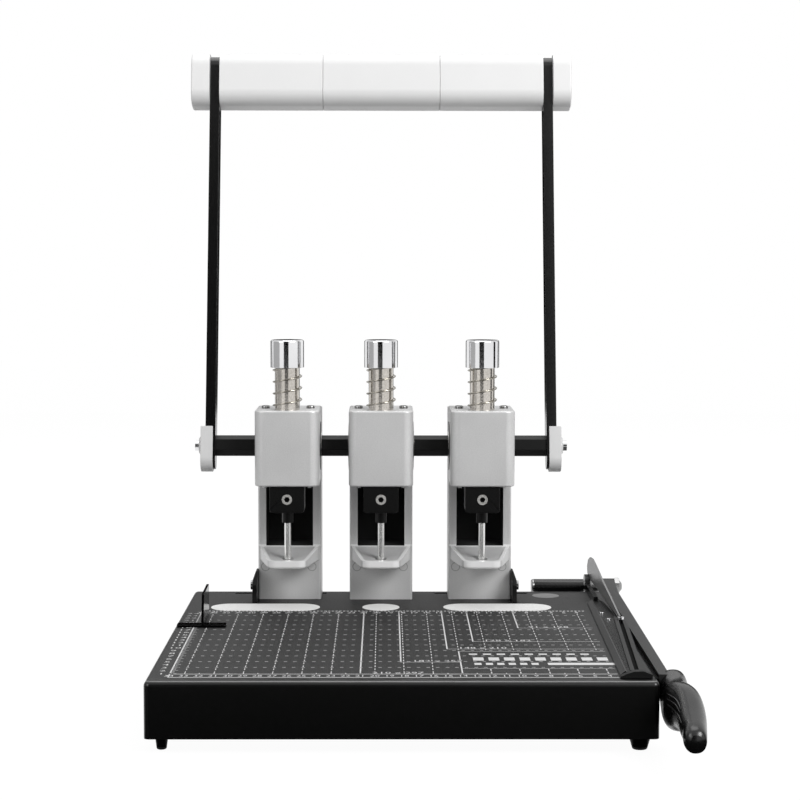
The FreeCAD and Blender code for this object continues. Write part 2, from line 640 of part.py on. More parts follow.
def make_pinion():
    """The gear, its hub and two journals in one piece, bored to slide on the hexagonal shaft."""
    base_r = PITCH_R * math.cos(PRESSURE_ANGLE)
    radii = (PITCH_R - 1.25 * MODULE, base_r, PITCH_R, PITCH_R + MODULE)
    outline = []
    for tooth in range(PINION_TEETH):
        middle = math.pi + (tooth + 0.5) * 2 * math.pi / PINION_TEETH
        flank = [(r, half_tooth_angle(max(r, base_r))) for r in radii]
        for r, half in flank:
            outline.append((r, middle - half))
        for r, half in reversed(flank):
            outline.append((r, middle + half))
    points = [(SHAFT_Y + r * math.cos(a), SHAFT_Z + r * math.sin(a)) for r, a in outline]
    gear = prism_x(points, -PINION_WIDTH / 2, PINION_WIDTH / 2)
    wall = HOUSING_WIDTH / 2
    hub = bore_of_housing(-wall + HOUSING_SIDE + FACE_GAP, wall - HOUSING_SIDE - FACE_GAP, HUB_R)
    end = wall + BUSH_FLANGE + JOURNAL_PROUD
    journal = bore_of_housing(-end, end, JOURNAL_R)
    bore = hex_x(-end - 1, end + 1, 0, 0, SHAFT_FLATS + 2 * HEX_CLEARANCE)
    bore.rotate(Vector(0, 0, 0), Vector(1, 0, 0), -LEAN)
    bore.translate(Vector(0, SHAFT_Y, SHAFT_Z))
    return gear.fuse([hub, journal]).cut(bore)


def rack_spaces():
    """The gaps between rack teeth that the pinion can reach over the whole travel."""
    pitch_line = RAM_Y + RACK_FLAT - MODULE
    tip, root = pitch_line + MODULE + 1, pitch_line - 1.25 * MODULE
    slope = math.tan(PRESSURE_ANGLE)
    half_at_pitch = TOOTH_PITCH / 4 + FLANK_CLEARANCE
    reach = math.sqrt((PITCH_R + MODULE) ** 2 - (PITCH_R - MODULE) ** 2)
    first = -int(reach / TOOTH_PITCH + 0.5) - 1
    last = int((RAM_TRAVEL + reach) / TOOTH_PITCH + 0.5)
    spaces = []
    for k in range(first, last + 1):
        z = SHAFT_Z + (k + 0.5) * TOOTH_PITCH
        wide, narrow = half_at_pitch + slope * (tip - pitch_line), half_at_pitch - slope * (pitch_line - root)
        spaces.append(prism_x([(tip, z - wide), (tip, z + wide), (root, z + narrow), (root, z - narrow)],
                              -RAM_R - 1, RAM_R + 1))
    low = SHAFT_Z + first * TOOTH_PITCH - MODULE
    high = SHAFT_Z + (last + 1) * TOOTH_PITCH + MODULE
    return spaces, low, high


def cap_bottom():
    return HOUSING_TOP + RAM_TRAVEL + CAP_CLEARANCE


def chuck_top():
    return HOUSING_BOTTOM + LOWER_GUIDE_RECESS - CHUCK_TO_GUIDE


def make_ram():
    """The column with its rack and a spigot for the chuck."""
    ram = rod_z(0, RAM_Y, chuck_top(), cap_bottom() + CAP_SOCKET_DEPTH, RAM_R)
    ram = ram.fuse(rod_z(0, RAM_Y, chuck_top() - CHUCK_SPIGOT, chuck_top(), CHUCK_SPIGOT_R))
    spaces, low, high = rack_spaces()
    flat = box(-RAM_R - 1, RAM_R + 1, RAM_Y + RACK_FLAT, RAM_Y + RAM_R + 1, low, high)
    return ram.cut([flat] + spaces)


def make_cap():
    top = cap_bottom() + CAP_HEIGHT
    cap = rod_z(0, RAM_Y, cap_bottom(), top, CAP_R)
    cap = cap.makeFillet(CAP_EDGE_R, edges_where(cap, lambda e: level(e, top)))
    return cap.cut([rod_z(0, RAM_Y, cap_bottom() - 1, cap_bottom() + CAP_RECESS, CAP_RECESS_R),
                    rod_z(0, RAM_Y, cap_bottom() - 1, cap_bottom() + CAP_SOCKET_DEPTH, RAM_R)])


def pin_top():
    return chuck_top() - CHUCK_SPIGOT - 1.0


def make_chuck():
    """The black block that grips the pin, with a round nose below."""
    top = chuck_top()
    bottom = top - CHUCK_HEIGHT
    front = RAM_Y - CHUCK_DEPTH / 2
    block = box(-CHUCK_WIDTH / 2, CHUCK_WIDTH / 2, front, front + CHUCK_DEPTH, bottom, top)
    block = block.makeFillet(CHUCK_EDGE_R, edges_where(block, lambda e: level(e, bottom) and along(e, "y")))
    nose = rod_z(0, RAM_Y, bottom - CHUCK_NOSE, bottom + 1, CHUCK_NOSE_R)
    screw = Part.makeCylinder(PIN_SCREW_R, PIN_SCREW_DEPTH + 1, Vector(0, front - 1, bottom + PIN_SCREW_UP),
                              Vector(0, 1, 0))
    return block.fuse(nose).cut([screw, rod_z(0, RAM_Y, bottom - CHUCK_NOSE - 1, pin_top(), PIN_R),
                                 rod_z(0, RAM_Y, top - CHUCK_SPIGOT, top + 1, CHUCK_SPIGOT_R)])


def make_pin():
    pin = rod_z(0, RAM_Y, PIN_TIP, pin_top(), PIN_R)
    hollow = Part.makeCone(PIN_R * 0.8, 0, PIN_TIP_RECESS, Vector(0, RAM_Y, PIN_TIP), Vector(0, 0, 1))
    return pin.cut(hollow)


def make_pin_screw():
    z = chuck_top() - CHUCK_HEIGHT + PIN_SCREW_UP
    front = RAM_Y - CHUCK_DEPTH / 2
    screw = Part.makeCylinder(PIN_SCREW_R, PIN_SCREW_DEPTH + PIN_SCREW_PROUD,
                              Vector(0, front - PIN_SCREW_PROUD, z), Vector(0, 1, 0))
    r = PIN_SCREW_SOCKET / 2 / math.cos(math.pi / 6)
    corners = [Vector(r * math.cos(math.pi / 3 * k), front - 1, z + r * math.sin(math.pi / 3 * k))
               for k in range(6)]
    return screw.cut(face_of(corners).extrude(Vector(0, 1 + PIN_SCREW_DEPTH / 2, 0)))


def make_spring():
    """The return spring round the ram, a coil of six-sided wire between the housing and the cap."""
    low = HOUSING_TOP + SEAT_GAP + SPRING_WIRE_R
    high = cap_bottom() + CAP_RECESS - SEAT_GAP - SPRING_WIRE_R
    helix = Part.makeHelix(SPRING_PITCH, high - low, SPRING_R)
    corners = [Vector(SPRING_R + SPRING_WIRE_R * math.cos(math.pi / 3 * k), 0,
                      SPRING_WIRE_R * math.sin(math.pi / 3 * k)) for k in range(6)]
    section = Part.makePolygon(corners + corners[:1])
    spring = Part.Wire(helix).makePipeShell([section], True, True)
    spring.rotate(Vector(0, 0, 0), Vector(0, 0, 1), SPRING_START)
    spring.translate(Vector(0, RAM_Y, low))
    return spring


# ---------------------------------------------------------------- lever, built upright at the shaft
def upright_slot(x0, x1, depth, z0, z1):
    """A bar along Z with round ends, seen from the side."""
    r = depth / 2
    middle = box(x0, x1, SHAFT_Y - r, SHAFT_Y + r, z0 + r, z1 - r)
    ends = [rod_x(x0, x1, SHAFT_Y, z, r) for z in (z0 + r, z1 - r)]
    return middle.fuse(ends).removeSplitter()


def grip_z():
    return SHAFT_Z + ARM_LENGTH


def make_shaft():
    half = ARM_INNER + ARM_THICKNESS
    bar = hex_x(-ARM_INNER, ARM_INNER, SHAFT_Y, SHAFT_Z, SHAFT_FLATS)
    bar = bar.fuse(hex_x(-half, half, SHAFT_Y, SHAFT_Z, TENON_FLATS))
    holes = [rod_x(side * half - HUB_SCREW_IN_SHAFT, side * half + HUB_SCREW_IN_SHAFT, SHAFT_Y, SHAFT_Z,
                   HUB_SCREW_R) for side in (-1, 1)]
    return leaned(bar.cut(holes))


def make_arms():
    outer = ARM_INNER + ARM_THICKNESS
    arm = upright_slot(ARM_INNER, outer, ARM_DEPTH, SHAFT_Z - ARM_BELOW, grip_z() + GRIP_HEIGHT / 2 - 1)
    arm = arm.cut([hex_x(ARM_INNER - 1, outer + 1, SHAFT_Y, SHAFT_Z, TENON_FLATS),
                   rod_x(ARM_INNER - 1, outer + 1, SHAFT_Y, grip_z(), GRIP_ROD_R)])
    return [leaned(arm), leaned(mirrored(arm))]


def grip_block(x0, x1):
    block = box(x0, x1, SHAFT_Y - GRIP_DEPTH / 2, SHAFT_Y + GRIP_DEPTH / 2,
                grip_z() - GRIP_HEIGHT / 2, grip_z() + GRIP_HEIGHT / 2)
    return block.makeFillet(GRIP_ROUND, edges_where(block, lambda e: along(e, "x")))


def make_grip():
    """Three white sleeves on the rod between the arms."""
    stops = (-ARM_INNER, *GRIP_SEAMS, ARM_INNER)
    bore = rod_x(-GRIP_HALF_LENGTH, GRIP_HALF_LENGTH, SHAFT_Y, grip_z(), GRIP_ROD_R)
    half_gap = GRIP_SEAM_GAP / 2
    return [leaned(grip_block(a + half_gap, b - half_gap).cut(bore)) for a, b in zip(stops, stops[1:])]


def make_grip_caps():
    inner = ARM_INNER + ARM_THICKNESS
    cap = grip_block(inner, GRIP_HALF_LENGTH)
    cap = cap.makeFillet(GRIP_CAP_EDGE_R, edges_where(
        cap, lambda e: all(abs(v.Point.x - GRIP_HALF_LENGTH) < 1e-6 for v in e.Vertexes)))
    cap = cap.cut(rod_x(inner - 1, GRIP_HALF_LENGTH - GRIP_ROD_INSET, SHAFT_Y, grip_z(), GRIP_ROD_R))
    return [leaned(cap), leaned(mirrored(cap))]


def make_grip_rod():
    end = GRIP_HALF_LENGTH - GRIP_ROD_INSET
    return leaned(rod_x(-end, end, SHAFT_Y, grip_z(), GRIP_ROD_R))


def make_hub_covers():
    """Light plastic covers over the arms' lower ends, open towards the heads."""
    outer = ARM_INNER + ARM_THICKNESS
    depth = ARM_DEPTH + 2 * COVER_WALL
    shell = upright_slot(ARM_INNER + COVER_SHORT, outer + COVER_FACE, depth, SHAFT_Z - ARM_BELOW - COVER_WALL,
                         SHAFT_Z + COVER_TOP + depth)
    shell = shell.common(box(0, 2 * outer, -depth, depth, 0, SHAFT_Z + COVER_TOP))
    pocket = upright_slot(ARM_INNER - 1, outer, ARM_DEPTH, SHAFT_Z - ARM_BELOW, grip_z())
    face = outer + COVER_FACE
    boss = cone_x(face, face + COVER_BOSS, SHAFT_Y, SHAFT_Z, COVER_BOSS_R, COVER_BOSS_TOP_R)
    hole = rod_x(outer - 1, face + COVER_BOSS + 1, SHAFT_Y, SHAFT_Z, HUB_SCREW_R)
    cover = shell.cut(pocket).fuse(boss).cut(hole)
    return [leaned(cover), leaned(mirrored(cover))]


def make_hub_screws():
    outer = ARM_INNER + ARM_THICKNESS
    seat = outer + COVER_FACE + COVER_BOSS
    head = rod_x(seat, seat + HUB_SCREW_HEAD, SHAFT_Y, SHAFT_Z, HUB_SCREW_HEAD_R)
    socket = hex_x(seat + HUB_SCREW_HEAD / 2, seat + HUB_SCREW_HEAD + 1, SHAFT_Y, SHAFT_Z, HUB_SCREW_SOCKET)
    screw = head.cut(socket).fuse(rod_x(outer - HUB_SCREW_IN_SHAFT, seat, SHAFT_Y, SHAFT_Z, HUB_SCREW_R))
    return [leaned(screw), leaned(mirrored(screw))]


# ---------------------------------------------------------------- side stop
def make_side_stop():
    """A flat bar that lies on the bed, with an upright plate that the sheets are pushed against."""
    z0, z1 = STOP_GAP, STOP_GAP + STOP_SHEET
    front = STOP_REAR - STOP_BAR_WIDTH
    bar = box(STOP_LEFT, STOP_LEFT + STOP_BAR_LENGTH, front, STOP_REAR, z0, z1)
    bar = bar.makeFillet(STOP_CORNER_R, edges_where(bar, lambda e: along(e, "z")))
    outline = [(front + STOP_BAR_WIDTH / 2, z0), (STOP_PLATE_REAR, z0), (STOP_PLATE_REAR, STOP_PLATE_TOP),
               (STOP_REAR, STOP_PLATE_TOP - STOP_PLATE_SLOPE), (front + STOP_BAR_WIDTH / 2, STOP_PLATE_FOOT)]
    plate = prism_x(outline, STOP_PLATE_X, STOP_PLATE_X + STOP_PLATE)
    return bar.fuse(plate).removeSplitter()


# ---------------------------------------------------------------- trimmer
def blade_x():
    return BED_RIGHT + FACE_GAP


def arm_bar_x():
    return blade_x() + BLADE


def press_plate_x():
    return CLAMP_RING_ENDS[1] + FACE_GAP


def pivot_rod(x0, x1, r):
    return rod_x(x0, x1, PIVOT_Y, PIVOT_Z, r)


def make_pivot_bracket():
    """A plate on the rear skirt with a tube that carries the trimmer's pivot."""
    plate = box(*PLATE_ENDS, BED_REAR, BED_REAR + PLATE_THICKNESS, PLATE_BOTTOM, PLATE_TOP)
    web = box(*PLATE_ENDS, BED_REAR, PIVOT_Y, PLATE_TOP - WEB_THICKNESS, PLATE_TOP)
    tube = pivot_rod(*PIVOT_TUBE_ENDS, PIVOT_TUBE_R)
    return plate.fuse([web, tube]).cut(pivot_rod(PIVOT_TUBE_ENDS[0] - 1, PIVOT_TUBE_ENDS[1] + 1, PIVOT_R))


def make_pivot_pin():
    left, tube_right = PIVOT_TUBE_ENDS
    nut_x = arm_bar_x() + ARM_BAR + FACE_GAP
    head = pivot_rod(left - PIVOT_HEAD, left, PIVOT_TUBE_R)
    head = head.makeFillet(PIVOT_HEAD_EDGE_R, edges_where(
        head, lambda e: all(abs(v.Point.x - left + PIVOT_HEAD) < 1e-6 for v in e.Vertexes)))
    pin = pivot_rod(left, nut_x + PIVOT_NUT, PIVOT_R)
    spacer = pivot_rod(press_plate_x() + PRESS_PLATE + FACE_GAP, arm_bar_x() - FACE_GAP, PIVOT_SPACER_R)
    nut = hex_x(nut_x, nut_x + PIVOT_NUT, PIVOT_Y, PIVOT_Z, PIVOT_NUT_FLATS)
    dome = cone_x(nut_x + PIVOT_NUT, nut_x + PIVOT_NUT + PIVOT_DOME, PIVOT_Y, PIVOT_Z, PIVOT_DOME_R,
                  PIVOT_DOME_R / 2)
    return head.fuse([pin, spacer, nut, dome])


def make_ledger_blade():
    return box(BED_RIGHT - LEDGER, BED_RIGHT, *LEDGER_ENDS, -LEDGER_HEIGHT, LEDGER_PROUD)


def blade_screw_holes():
    return [rod_x(blade_x(), arm_bar_x() + ARM_BAR + 1, y, BLADE_SCREW_Z, BLADE_SCREW_R)
            for y in BLADE_SCREW_YS]


def make_cutter_blade():
    """A bellied blade on the inner side of the arm."""
    x = blade_x()
    front, rear = BLADE_ENDS
    heel, toe = Vector(x, rear, BLADE_HEEL), Vector(x, front, BLADE_TOE)
    belly = Vector(x, (front + rear) / 2, BLADE_BELLY)
    top_rear, top_front = Vector(x, rear, BLADE_TOP), Vector(x, front, BLADE_TOP)
    wire = Part.Wire([Part.Arc(heel, belly, toe).toShape(), Part.makeLine(toe, top_front),
                      Part.makeLine(top_front, top_rear), Part.makeLine(top_rear, heel)])
    return Part.Face(wire).extrude(Vector(BLADE, 0, 0)).cut(blade_screw_holes())


def arm_bar_blank():
    x0, x1 = arm_bar_x(), arm_bar_x() + ARM_BAR
    outline = [(PIVOT_Y, PIVOT_Z + ARM_BAR_HUB_R), (BED_REAR / 2, ARM_BAR_TOP_REAR),
               (ARM_BAR_FRONT, ARM_BAR_TOP_FRONT), (ARM_BAR_FRONT, ARM_BAR_BOTTOM),
               (BED_REAR / 2, ARM_BAR_BOTTOM), (PIVOT_Y, PIVOT_Z - ARM_BAR_HUB_R)]
    bar = prism_x(outline, x0, x1).fuse(pivot_rod(x0, x1, ARM_BAR_HUB_R))
    tip = x0 + ARM_BAR_TIP
    taper = prism_z([(x1, BED_REAR / 2), (tip, ARM_BAR_FRONT), (tip, ARM_BAR_FRONT - 1),
                     (x1 + 1, ARM_BAR_FRONT - 1), (x1 + 1, BED_REAR / 2)], -BED_HEIGHT, BED_HEIGHT)
    return bar.cut(taper)


def make_cutter_arm():
    bore = pivot_rod(arm_bar_x() - 1, arm_bar_x() + ARM_BAR + 1, PIVOT_R + RUNNING)
    seat = arm_bar_x() + BLADE_SCREW_SEAT
    sinks = [rod_x(seat, seat + ARM_BAR, y, BLADE_SCREW_Z, BLADE_SCREW_SINK_R) for y in BLADE_SCREW_YS]
    return arm_bar_blank().cut([bore] + blade_screw_holes() + sinks)


def make_blade_screws():
    x = arm_bar_x() + BLADE_SCREW_SEAT
    return [rod_x(x, x + BLADE_SCREW_HEAD, y, BLADE_SCREW_Z, BLADE_SCREW_HEAD_R).fuse(
        rod_x(blade_x(), x, y, BLADE_SCREW_Z, BLADE_SCREW_R)) for y in BLADE_SCREW_YS]


def oval_wire(y, x, z, half_width, half_height):
    """A smooth closed oval in a plane of constant Y, always started at its +X side."""
    turns = [2 * math.pi * k / GRIP_OVAL_POINTS for k in range(GRIP_OVAL_POINTS)]
    curve = Part.BSplineCurve()
    curve.interpolate([Vector(x + half_width * math.cos(a), y, z + half_height * math.sin(a)) for a in turns],
                      PeriodicFlag=True)
    return Part.Wire(curve.toShape())


def make_cutter_grip():
    """The moulded handle on the front of the trimmer's arm."""
    grip = Part.makeLoft([oval_wire(*section) for section in GRIP_SECTIONS], True, False)
    beside_bed = box(BED_RIGHT - 20, blade_x() + BLADE, BED_FRONT - 1, 0, -100, 100)
    return grip.cut([arm_bar_blank(), beside_bed])


# ---------------------------------------------------------------- hold-down clamp
def slanted(xz, y0, y1, slant):
    """An outline in X and Z at y0, carried to y1 with a sideways run."""
    return face_of([Vector(x, y0, z) for x, z in xz]).extrude(Vector((y1 - y0) * slant, y1 - y0, 0))


def make_clamp_bar():
    """A moulded bar beside the blade, hung on the pivot by a neck and a ring, and its front foot."""
    low = FLANGE_PROFILE[0][1]
    edge = box(0, BED_RIGHT, CLAMP_FRONT - 1, PIVOT_Y, 0, BED_HEIGHT)     # the blade passes outside it
    flange = slanted(FLANGE_PROFILE, CLAMP_FRONT, FLANGE_REAR, FLANGE_SLANT)
    panel = prism_z(PANEL_OUTLINE, low, PANEL_TOP)
    channel = slanted(CHANNEL_PROFILE, CLAMP_FRONT, CHANNEL_REAR, CHANNEL_SLANT).common(edge)
    ring = pivot_rod(*CLAMP_RING_ENDS, CLAMP_RING_R)
    neck = box(*CLAMP_RING_ENDS, FLANGE_REAR, PIVOT_Y, 2 * FACE_GAP, CLAMP_NECK_TOP)
    bore = pivot_rod(CLAMP_RING_ENDS[0] - 1, CLAMP_RING_ENDS[1] + 1, PIVOT_R + RUNNING)
    screws = [rod_z(x, y, *STUD_Z, STUD_R) for x, y in STUD_SCREWS]
    foot = slanted(CLAMP_CAP_PROFILE, CLAMP_FRONT - CLAMP_CAP, CLAMP_FRONT, 0)
    bar = flange.fuse([panel, channel, ring, neck]).cut([bore, end_screw()] + screws)
    return [bar.cut(press_plate_blank()), foot]


def press_plate_blank():
    x0 = press_plate_x()
    x1 = x0 + PRESS_PLATE
    plate = prism_x(PRESS_PLATE_OUTLINE, x0, x1).fuse(pivot_rod(x0, x1, PRESS_PLATE_LOBE_R)).removeSplitter()
    plate.rotate(Vector(x0, PIVOT_Y, PIVOT_Z), Vector(0, 0, 1), PRESS_PLATE_TURN)
    return plate


def make_press_lever():
    """The pale steel plate that stands on the bar, from the pivot to a screw in the channel."""
    x0 = press_plate_x()
    return press_plate_blank().cut(pivot_rod(x0 - 1, x0 + 2 * PRESS_PLATE, PIVOT_R + PRESS_PLATE_BORE_PLAY))


def end_screw():
    """The screw at the plate's front end, in the channel's groove."""
    groove = [x for x, z in CHANNEL_PROFILE if abs(z - PRESS_PLATE_OUTLINE[0][1]) < 1e-6]
    x = sum(groove) / 2 + (END_SCREW_Y - CLAMP_FRONT) * CHANNEL_SLANT
    floor, rim = PRESS_PLATE_OUTLINE[0][1], CHANNEL_PROFILE[1][1]
    return rod_z(x, END_SCREW_Y, floor, rim, END_SCREW_R).fuse(
        rod_z(x, END_SCREW_Y, rim, rim + END_SCREW_HEAD, END_SCREW_HEAD_R))


def make_clamp_screws():
    """Two small screws in the panel and one in front of the plate, in the groove."""
    return [rod_z(x, y, *STUD_Z, STUD_R) for x, y in STUD_SCREWS] + [end_screw()]


# ---------------------------------------------------------------- export
def export_heads():
    housing, bushes, guides = make_housing(), make_bushes(), make_ram_guides()
    ram, cap, chuck, pin, pin_screw = make_ram(), make_cap(), make_chuck(), make_pin(), make_pin_screw()
    spring, pinion, bracket = make_spring(), make_pinion(), make_bracket()
    for name, x in HEADS.items():
        sliding = name != "middle"
        tower, screws = make_tower(SLIDE_GAP if sliding else 0.0), make_head_screws(sliding)
        side = bracket
        if sliding:
            hole, extra = bracket_screw_hole(), make_bracket_screw()
            if name == "right":
                hole, extra, side = mirrored(hole), mirrored(extra), mirrored(bracket)
            tower, screws = tower.cut(hole), screws + [extra]
            export(name + "_bracket", moved(side, x))
        pieces = {"tower": tower, "housing": housing, "bushes": bushes, "ram_guides": guides,
                  "screws": screws, "ram": ram, "cap": cap, "chuck": chuck, "pin": pin,
                  "pin_screw": pin_screw, "spring": spring, "pinion": pinion}
        for piece, solids in pieces.items():
            solids = solids if isinstance(solids, list) else [solids]
            placed = [moved(s, x) for s in solids]
            export("%s_%s" % (name, piece), placed if len(placed) > 1 else placed[0])


def main():
    os.makedirs("parts", exist_ok=True)
    export_heads()
    for node, solids in {
        "bed": make_bed(), "feet": make_feet(), "cutting_pads": make_pads(), "pad_tray": make_pad_tray(),
        "shaft": make_shaft(), "arms": make_arms(), "grip": make_grip(), "grip_caps": make_grip_caps(),
        "grip_rod": make_grip_rod(), "hub_covers": make_hub_covers(), "hub_screws": make_hub_screws(),
        "side_stop": make_side_stop(), "pivot_bracket": make_pivot_bracket(), "pivot_pin": make_pivot_pin(),
        "ledger_blade": make_ledger_blade(), "cutter_blade": make_cutter_blade(),
        "cutter_arm": make_cutter_arm(), "blade_screws": make_blade_screws(),
        "cutter_grip": make_cutter_grip(), "clamp_bar": make_clamp_bar(), "press_lever": make_press_lever(),
        "clamp_screws": make_clamp_screws(),
    }.items():
        export(node, solids)


main()
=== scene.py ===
"""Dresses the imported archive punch: paint and metal finishes, the bed's printed rulers, coil springs,
the trimmer's moulded handle and small fittings. Everything is in metres, in the CAD frame."""

import math

import bmesh
import bpy
from mathutils import Matrix, Vector
from mathutils.bvhtree import BVHTree


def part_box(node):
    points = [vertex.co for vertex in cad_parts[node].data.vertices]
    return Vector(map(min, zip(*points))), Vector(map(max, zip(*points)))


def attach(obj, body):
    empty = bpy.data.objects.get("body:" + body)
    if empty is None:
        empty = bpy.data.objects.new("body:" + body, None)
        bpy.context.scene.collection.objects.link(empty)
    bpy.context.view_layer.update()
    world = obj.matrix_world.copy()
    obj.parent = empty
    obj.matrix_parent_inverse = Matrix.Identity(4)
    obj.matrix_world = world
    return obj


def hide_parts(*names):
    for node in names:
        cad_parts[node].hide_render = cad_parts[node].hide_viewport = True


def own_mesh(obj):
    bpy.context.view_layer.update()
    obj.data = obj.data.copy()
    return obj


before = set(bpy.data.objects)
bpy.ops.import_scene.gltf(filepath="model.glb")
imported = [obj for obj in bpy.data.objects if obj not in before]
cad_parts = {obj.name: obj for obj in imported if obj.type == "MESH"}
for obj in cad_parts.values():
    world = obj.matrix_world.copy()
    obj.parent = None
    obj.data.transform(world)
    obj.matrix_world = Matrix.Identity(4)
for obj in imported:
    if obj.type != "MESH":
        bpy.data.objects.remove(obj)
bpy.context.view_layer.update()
MM = 0.001

# ------------------------------------------------------------------ camera and room
CAMERA_PLACE = Vector((3.47, -1641.95, 284.92)) * MM
CAMERA_LENS = 89.76
CAMERA_PITCH = math.radians(4.1354)     # downwards
CAMERA_YAW = math.radians(0.4217)       # to the right
CAMERA_ROLL = math.radians(0.0823)
FLOOR_Z = -50.0 * MM
ROOM = 9.0
WORLD_LIGHT = 0.38
FLOOR_PALE = 0.3
FLOOR_GLOW = 0.8                        # share of the floor's own white where it is seen
FLOOR_WHITE = 1.2                       # strength of that white
LAMPS = (                # name, place, aim, size, watts
    ("key", (1.5, -1.6, 1.6), (0, -0.05, 0.15), 1.1, 49),
    ("fill", (-1.5, -1.5, 1.1), (0, -0.05, 0.15), 1.0, 11),
    ("top", (0.1, 0.3, 2.1), (0, 0, 0.1), 1.4, 13),
)
FLAGS = (                # name, grey, centre, width, height, facing
    ("flag_front", 0.0, (-0.33, -2.9, 0.9), 1.7, 2.6, (0, 1, 0)),
    ("flag_back", 0.0, (0.0, 2.6, 0.35), 3.2, 0.9, (0, -1, 0)),
    ("flag_floor", 0.03, (0.0, -0.68, FLOOR_Z + 0.002), 1.6, 0.75, (0, 0, 1)),
    ("flag_right", 0.0, (2.4, -0.1, 0.6), 0.7, 2.2, (-1, 0, 0)),
    ("flag_left", 0.45, (-2.4, -0.6, 0.6), 2.6, 2.2, (1, 0, 0)),
)

# ------------------------------------------------------------------ sizes taken from the frame's own pieces
def middle_of(node, axis):
    """The middle of a node's box along an axis, in metres."""
    low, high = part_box(node)
    return (low[axis] + high[axis]) / 2


HEADS = {head: middle_of(head + "_cap", 0) for head in ("left", "middle", "right")}
HEAD_BODY = {"left": "left_head", "middle": "base", "right": "right_head"}
RAM_Y = middle_of("middle_cap", 1)
SPRING_WIRE = 0.65 * MM
SPRING_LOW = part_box("middle_spring")[0][2] + SPRING_WIRE
SPRING_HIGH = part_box("middle_spring")[1][2] - SPRING_WIRE
SPRING_R = 11.3 * MM
SPRING_PITCH = 9.45 * MM
SPRING_START = math.radians(79.0)

# Places of painted patches, in millimetres, most of them painted highlights and painted shade
BEYOND = 400.0                          # past the bed on every side
LIP_EDGE_Z = 45.0                       # height of the lips' rims at the towers
LIP_FRONT_Z = 38.5                      # and at their front ends
LIP_LENGTH = 46.0
LIP_SLOPE = (LIP_EDGE_Z - LIP_FRONT_Z) / LIP_LENGTH
LIP_RIM_HIGHLIGHT = (-0.4, 1.2)                   # z limits of the painted highlight along the rim, about its edge
# box of the painted highlight on each lip's front bar
LIP_BAR_HIGHLIGHT_Y = (-46.0, -42.2)
LIP_BAR_HIGHLIGHT_Z = (30.0, 40.0)
WINDOW_SHADE_HALF_WIDTH = 19.6                # the hollow behind each ram, made black as painted shade
WINDOW_SHADE_Y = (1.0, 35.4)
WINDOW_SHADE_Z = (44.8, 153.2)
SOCKET_SHADE_HALF = 2.4                       # the set screws' sockets, made black as painted shade
BED_FACE_Z = -0.35                      # the bed's walls start under this height and get painted shade
BEND_Y = -311.5                         # and its front bend ahead of this line, whose top strip gets painted shade
BEND_HIGHLIGHT_Z = -0.75                     # lower limit of the painted highlight line on the bend
BEND_HIGHLIGHT_END = 187.5                   # and its right end
CLAMP_FRONT = -305.0
FLANGE_SLANT = 0.022                    # sideways run per length of the clamp's flange and channel
CHANNEL_SLANT = 0.058

INK_Z = 0.06 * MM                       # height of the print over the bed
RULER_ZERO = 196.5 * MM                 # where the printed centimetre scale would read 0
LAST_CM = 34
REAR_LINE = -55.0 * MM
FRONT_LINES = (-297.0 * MM, -308.0 * MM)


def cm_x(n):
    """X of the printed centimetre n."""
    return RULER_ZERO - n * 10 * MM


# ------------------------------------------------------------------ finishes
def new_material(name):
    """A material with its nodes, links and main shader."""
    material = bpy.data.materials.new(name)
    material.use_nodes = True
    nodes = material.node_tree.nodes
    return material, nodes, material.node_tree.links, nodes["Principled BSDF"]


def object_noise(nodes, links, scale, stretch=(1, 1, 1), detail=4.0):
    """Noise that is fixed to the piece; stretch draws it out along an axis."""
    place = nodes.new("ShaderNodeTexCoord")
    mapping = nodes.new("ShaderNodeMapping")
    noise = nodes.new("ShaderNodeTexNoise")
    mapping.inputs["Scale"].default_value = stretch
    noise.inputs["Scale"].default_value = scale
    noise.inputs["Detail"].default_value = detail
    links.new(place.outputs["Object"], mapping.inputs["Vector"])
    links.new(mapping.outputs["Vector"], noise.inputs["Vector"])
    return noise.outputs["Fac"]


def spread(nodes, links, source, low, high):
    """Maps the middle of a noise to a narrow range."""
    out = nodes.new("ShaderNodeMapRange")
    out.inputs["From Min"].default_value = 0.3
    out.inputs["From Max"].default_value = 0.7
    out.inputs["To Min"].default_value = low
    out.inputs["To Max"].default_value = high
    links.new(source, out.inputs["Value"])
    return out.outputs["Result"]


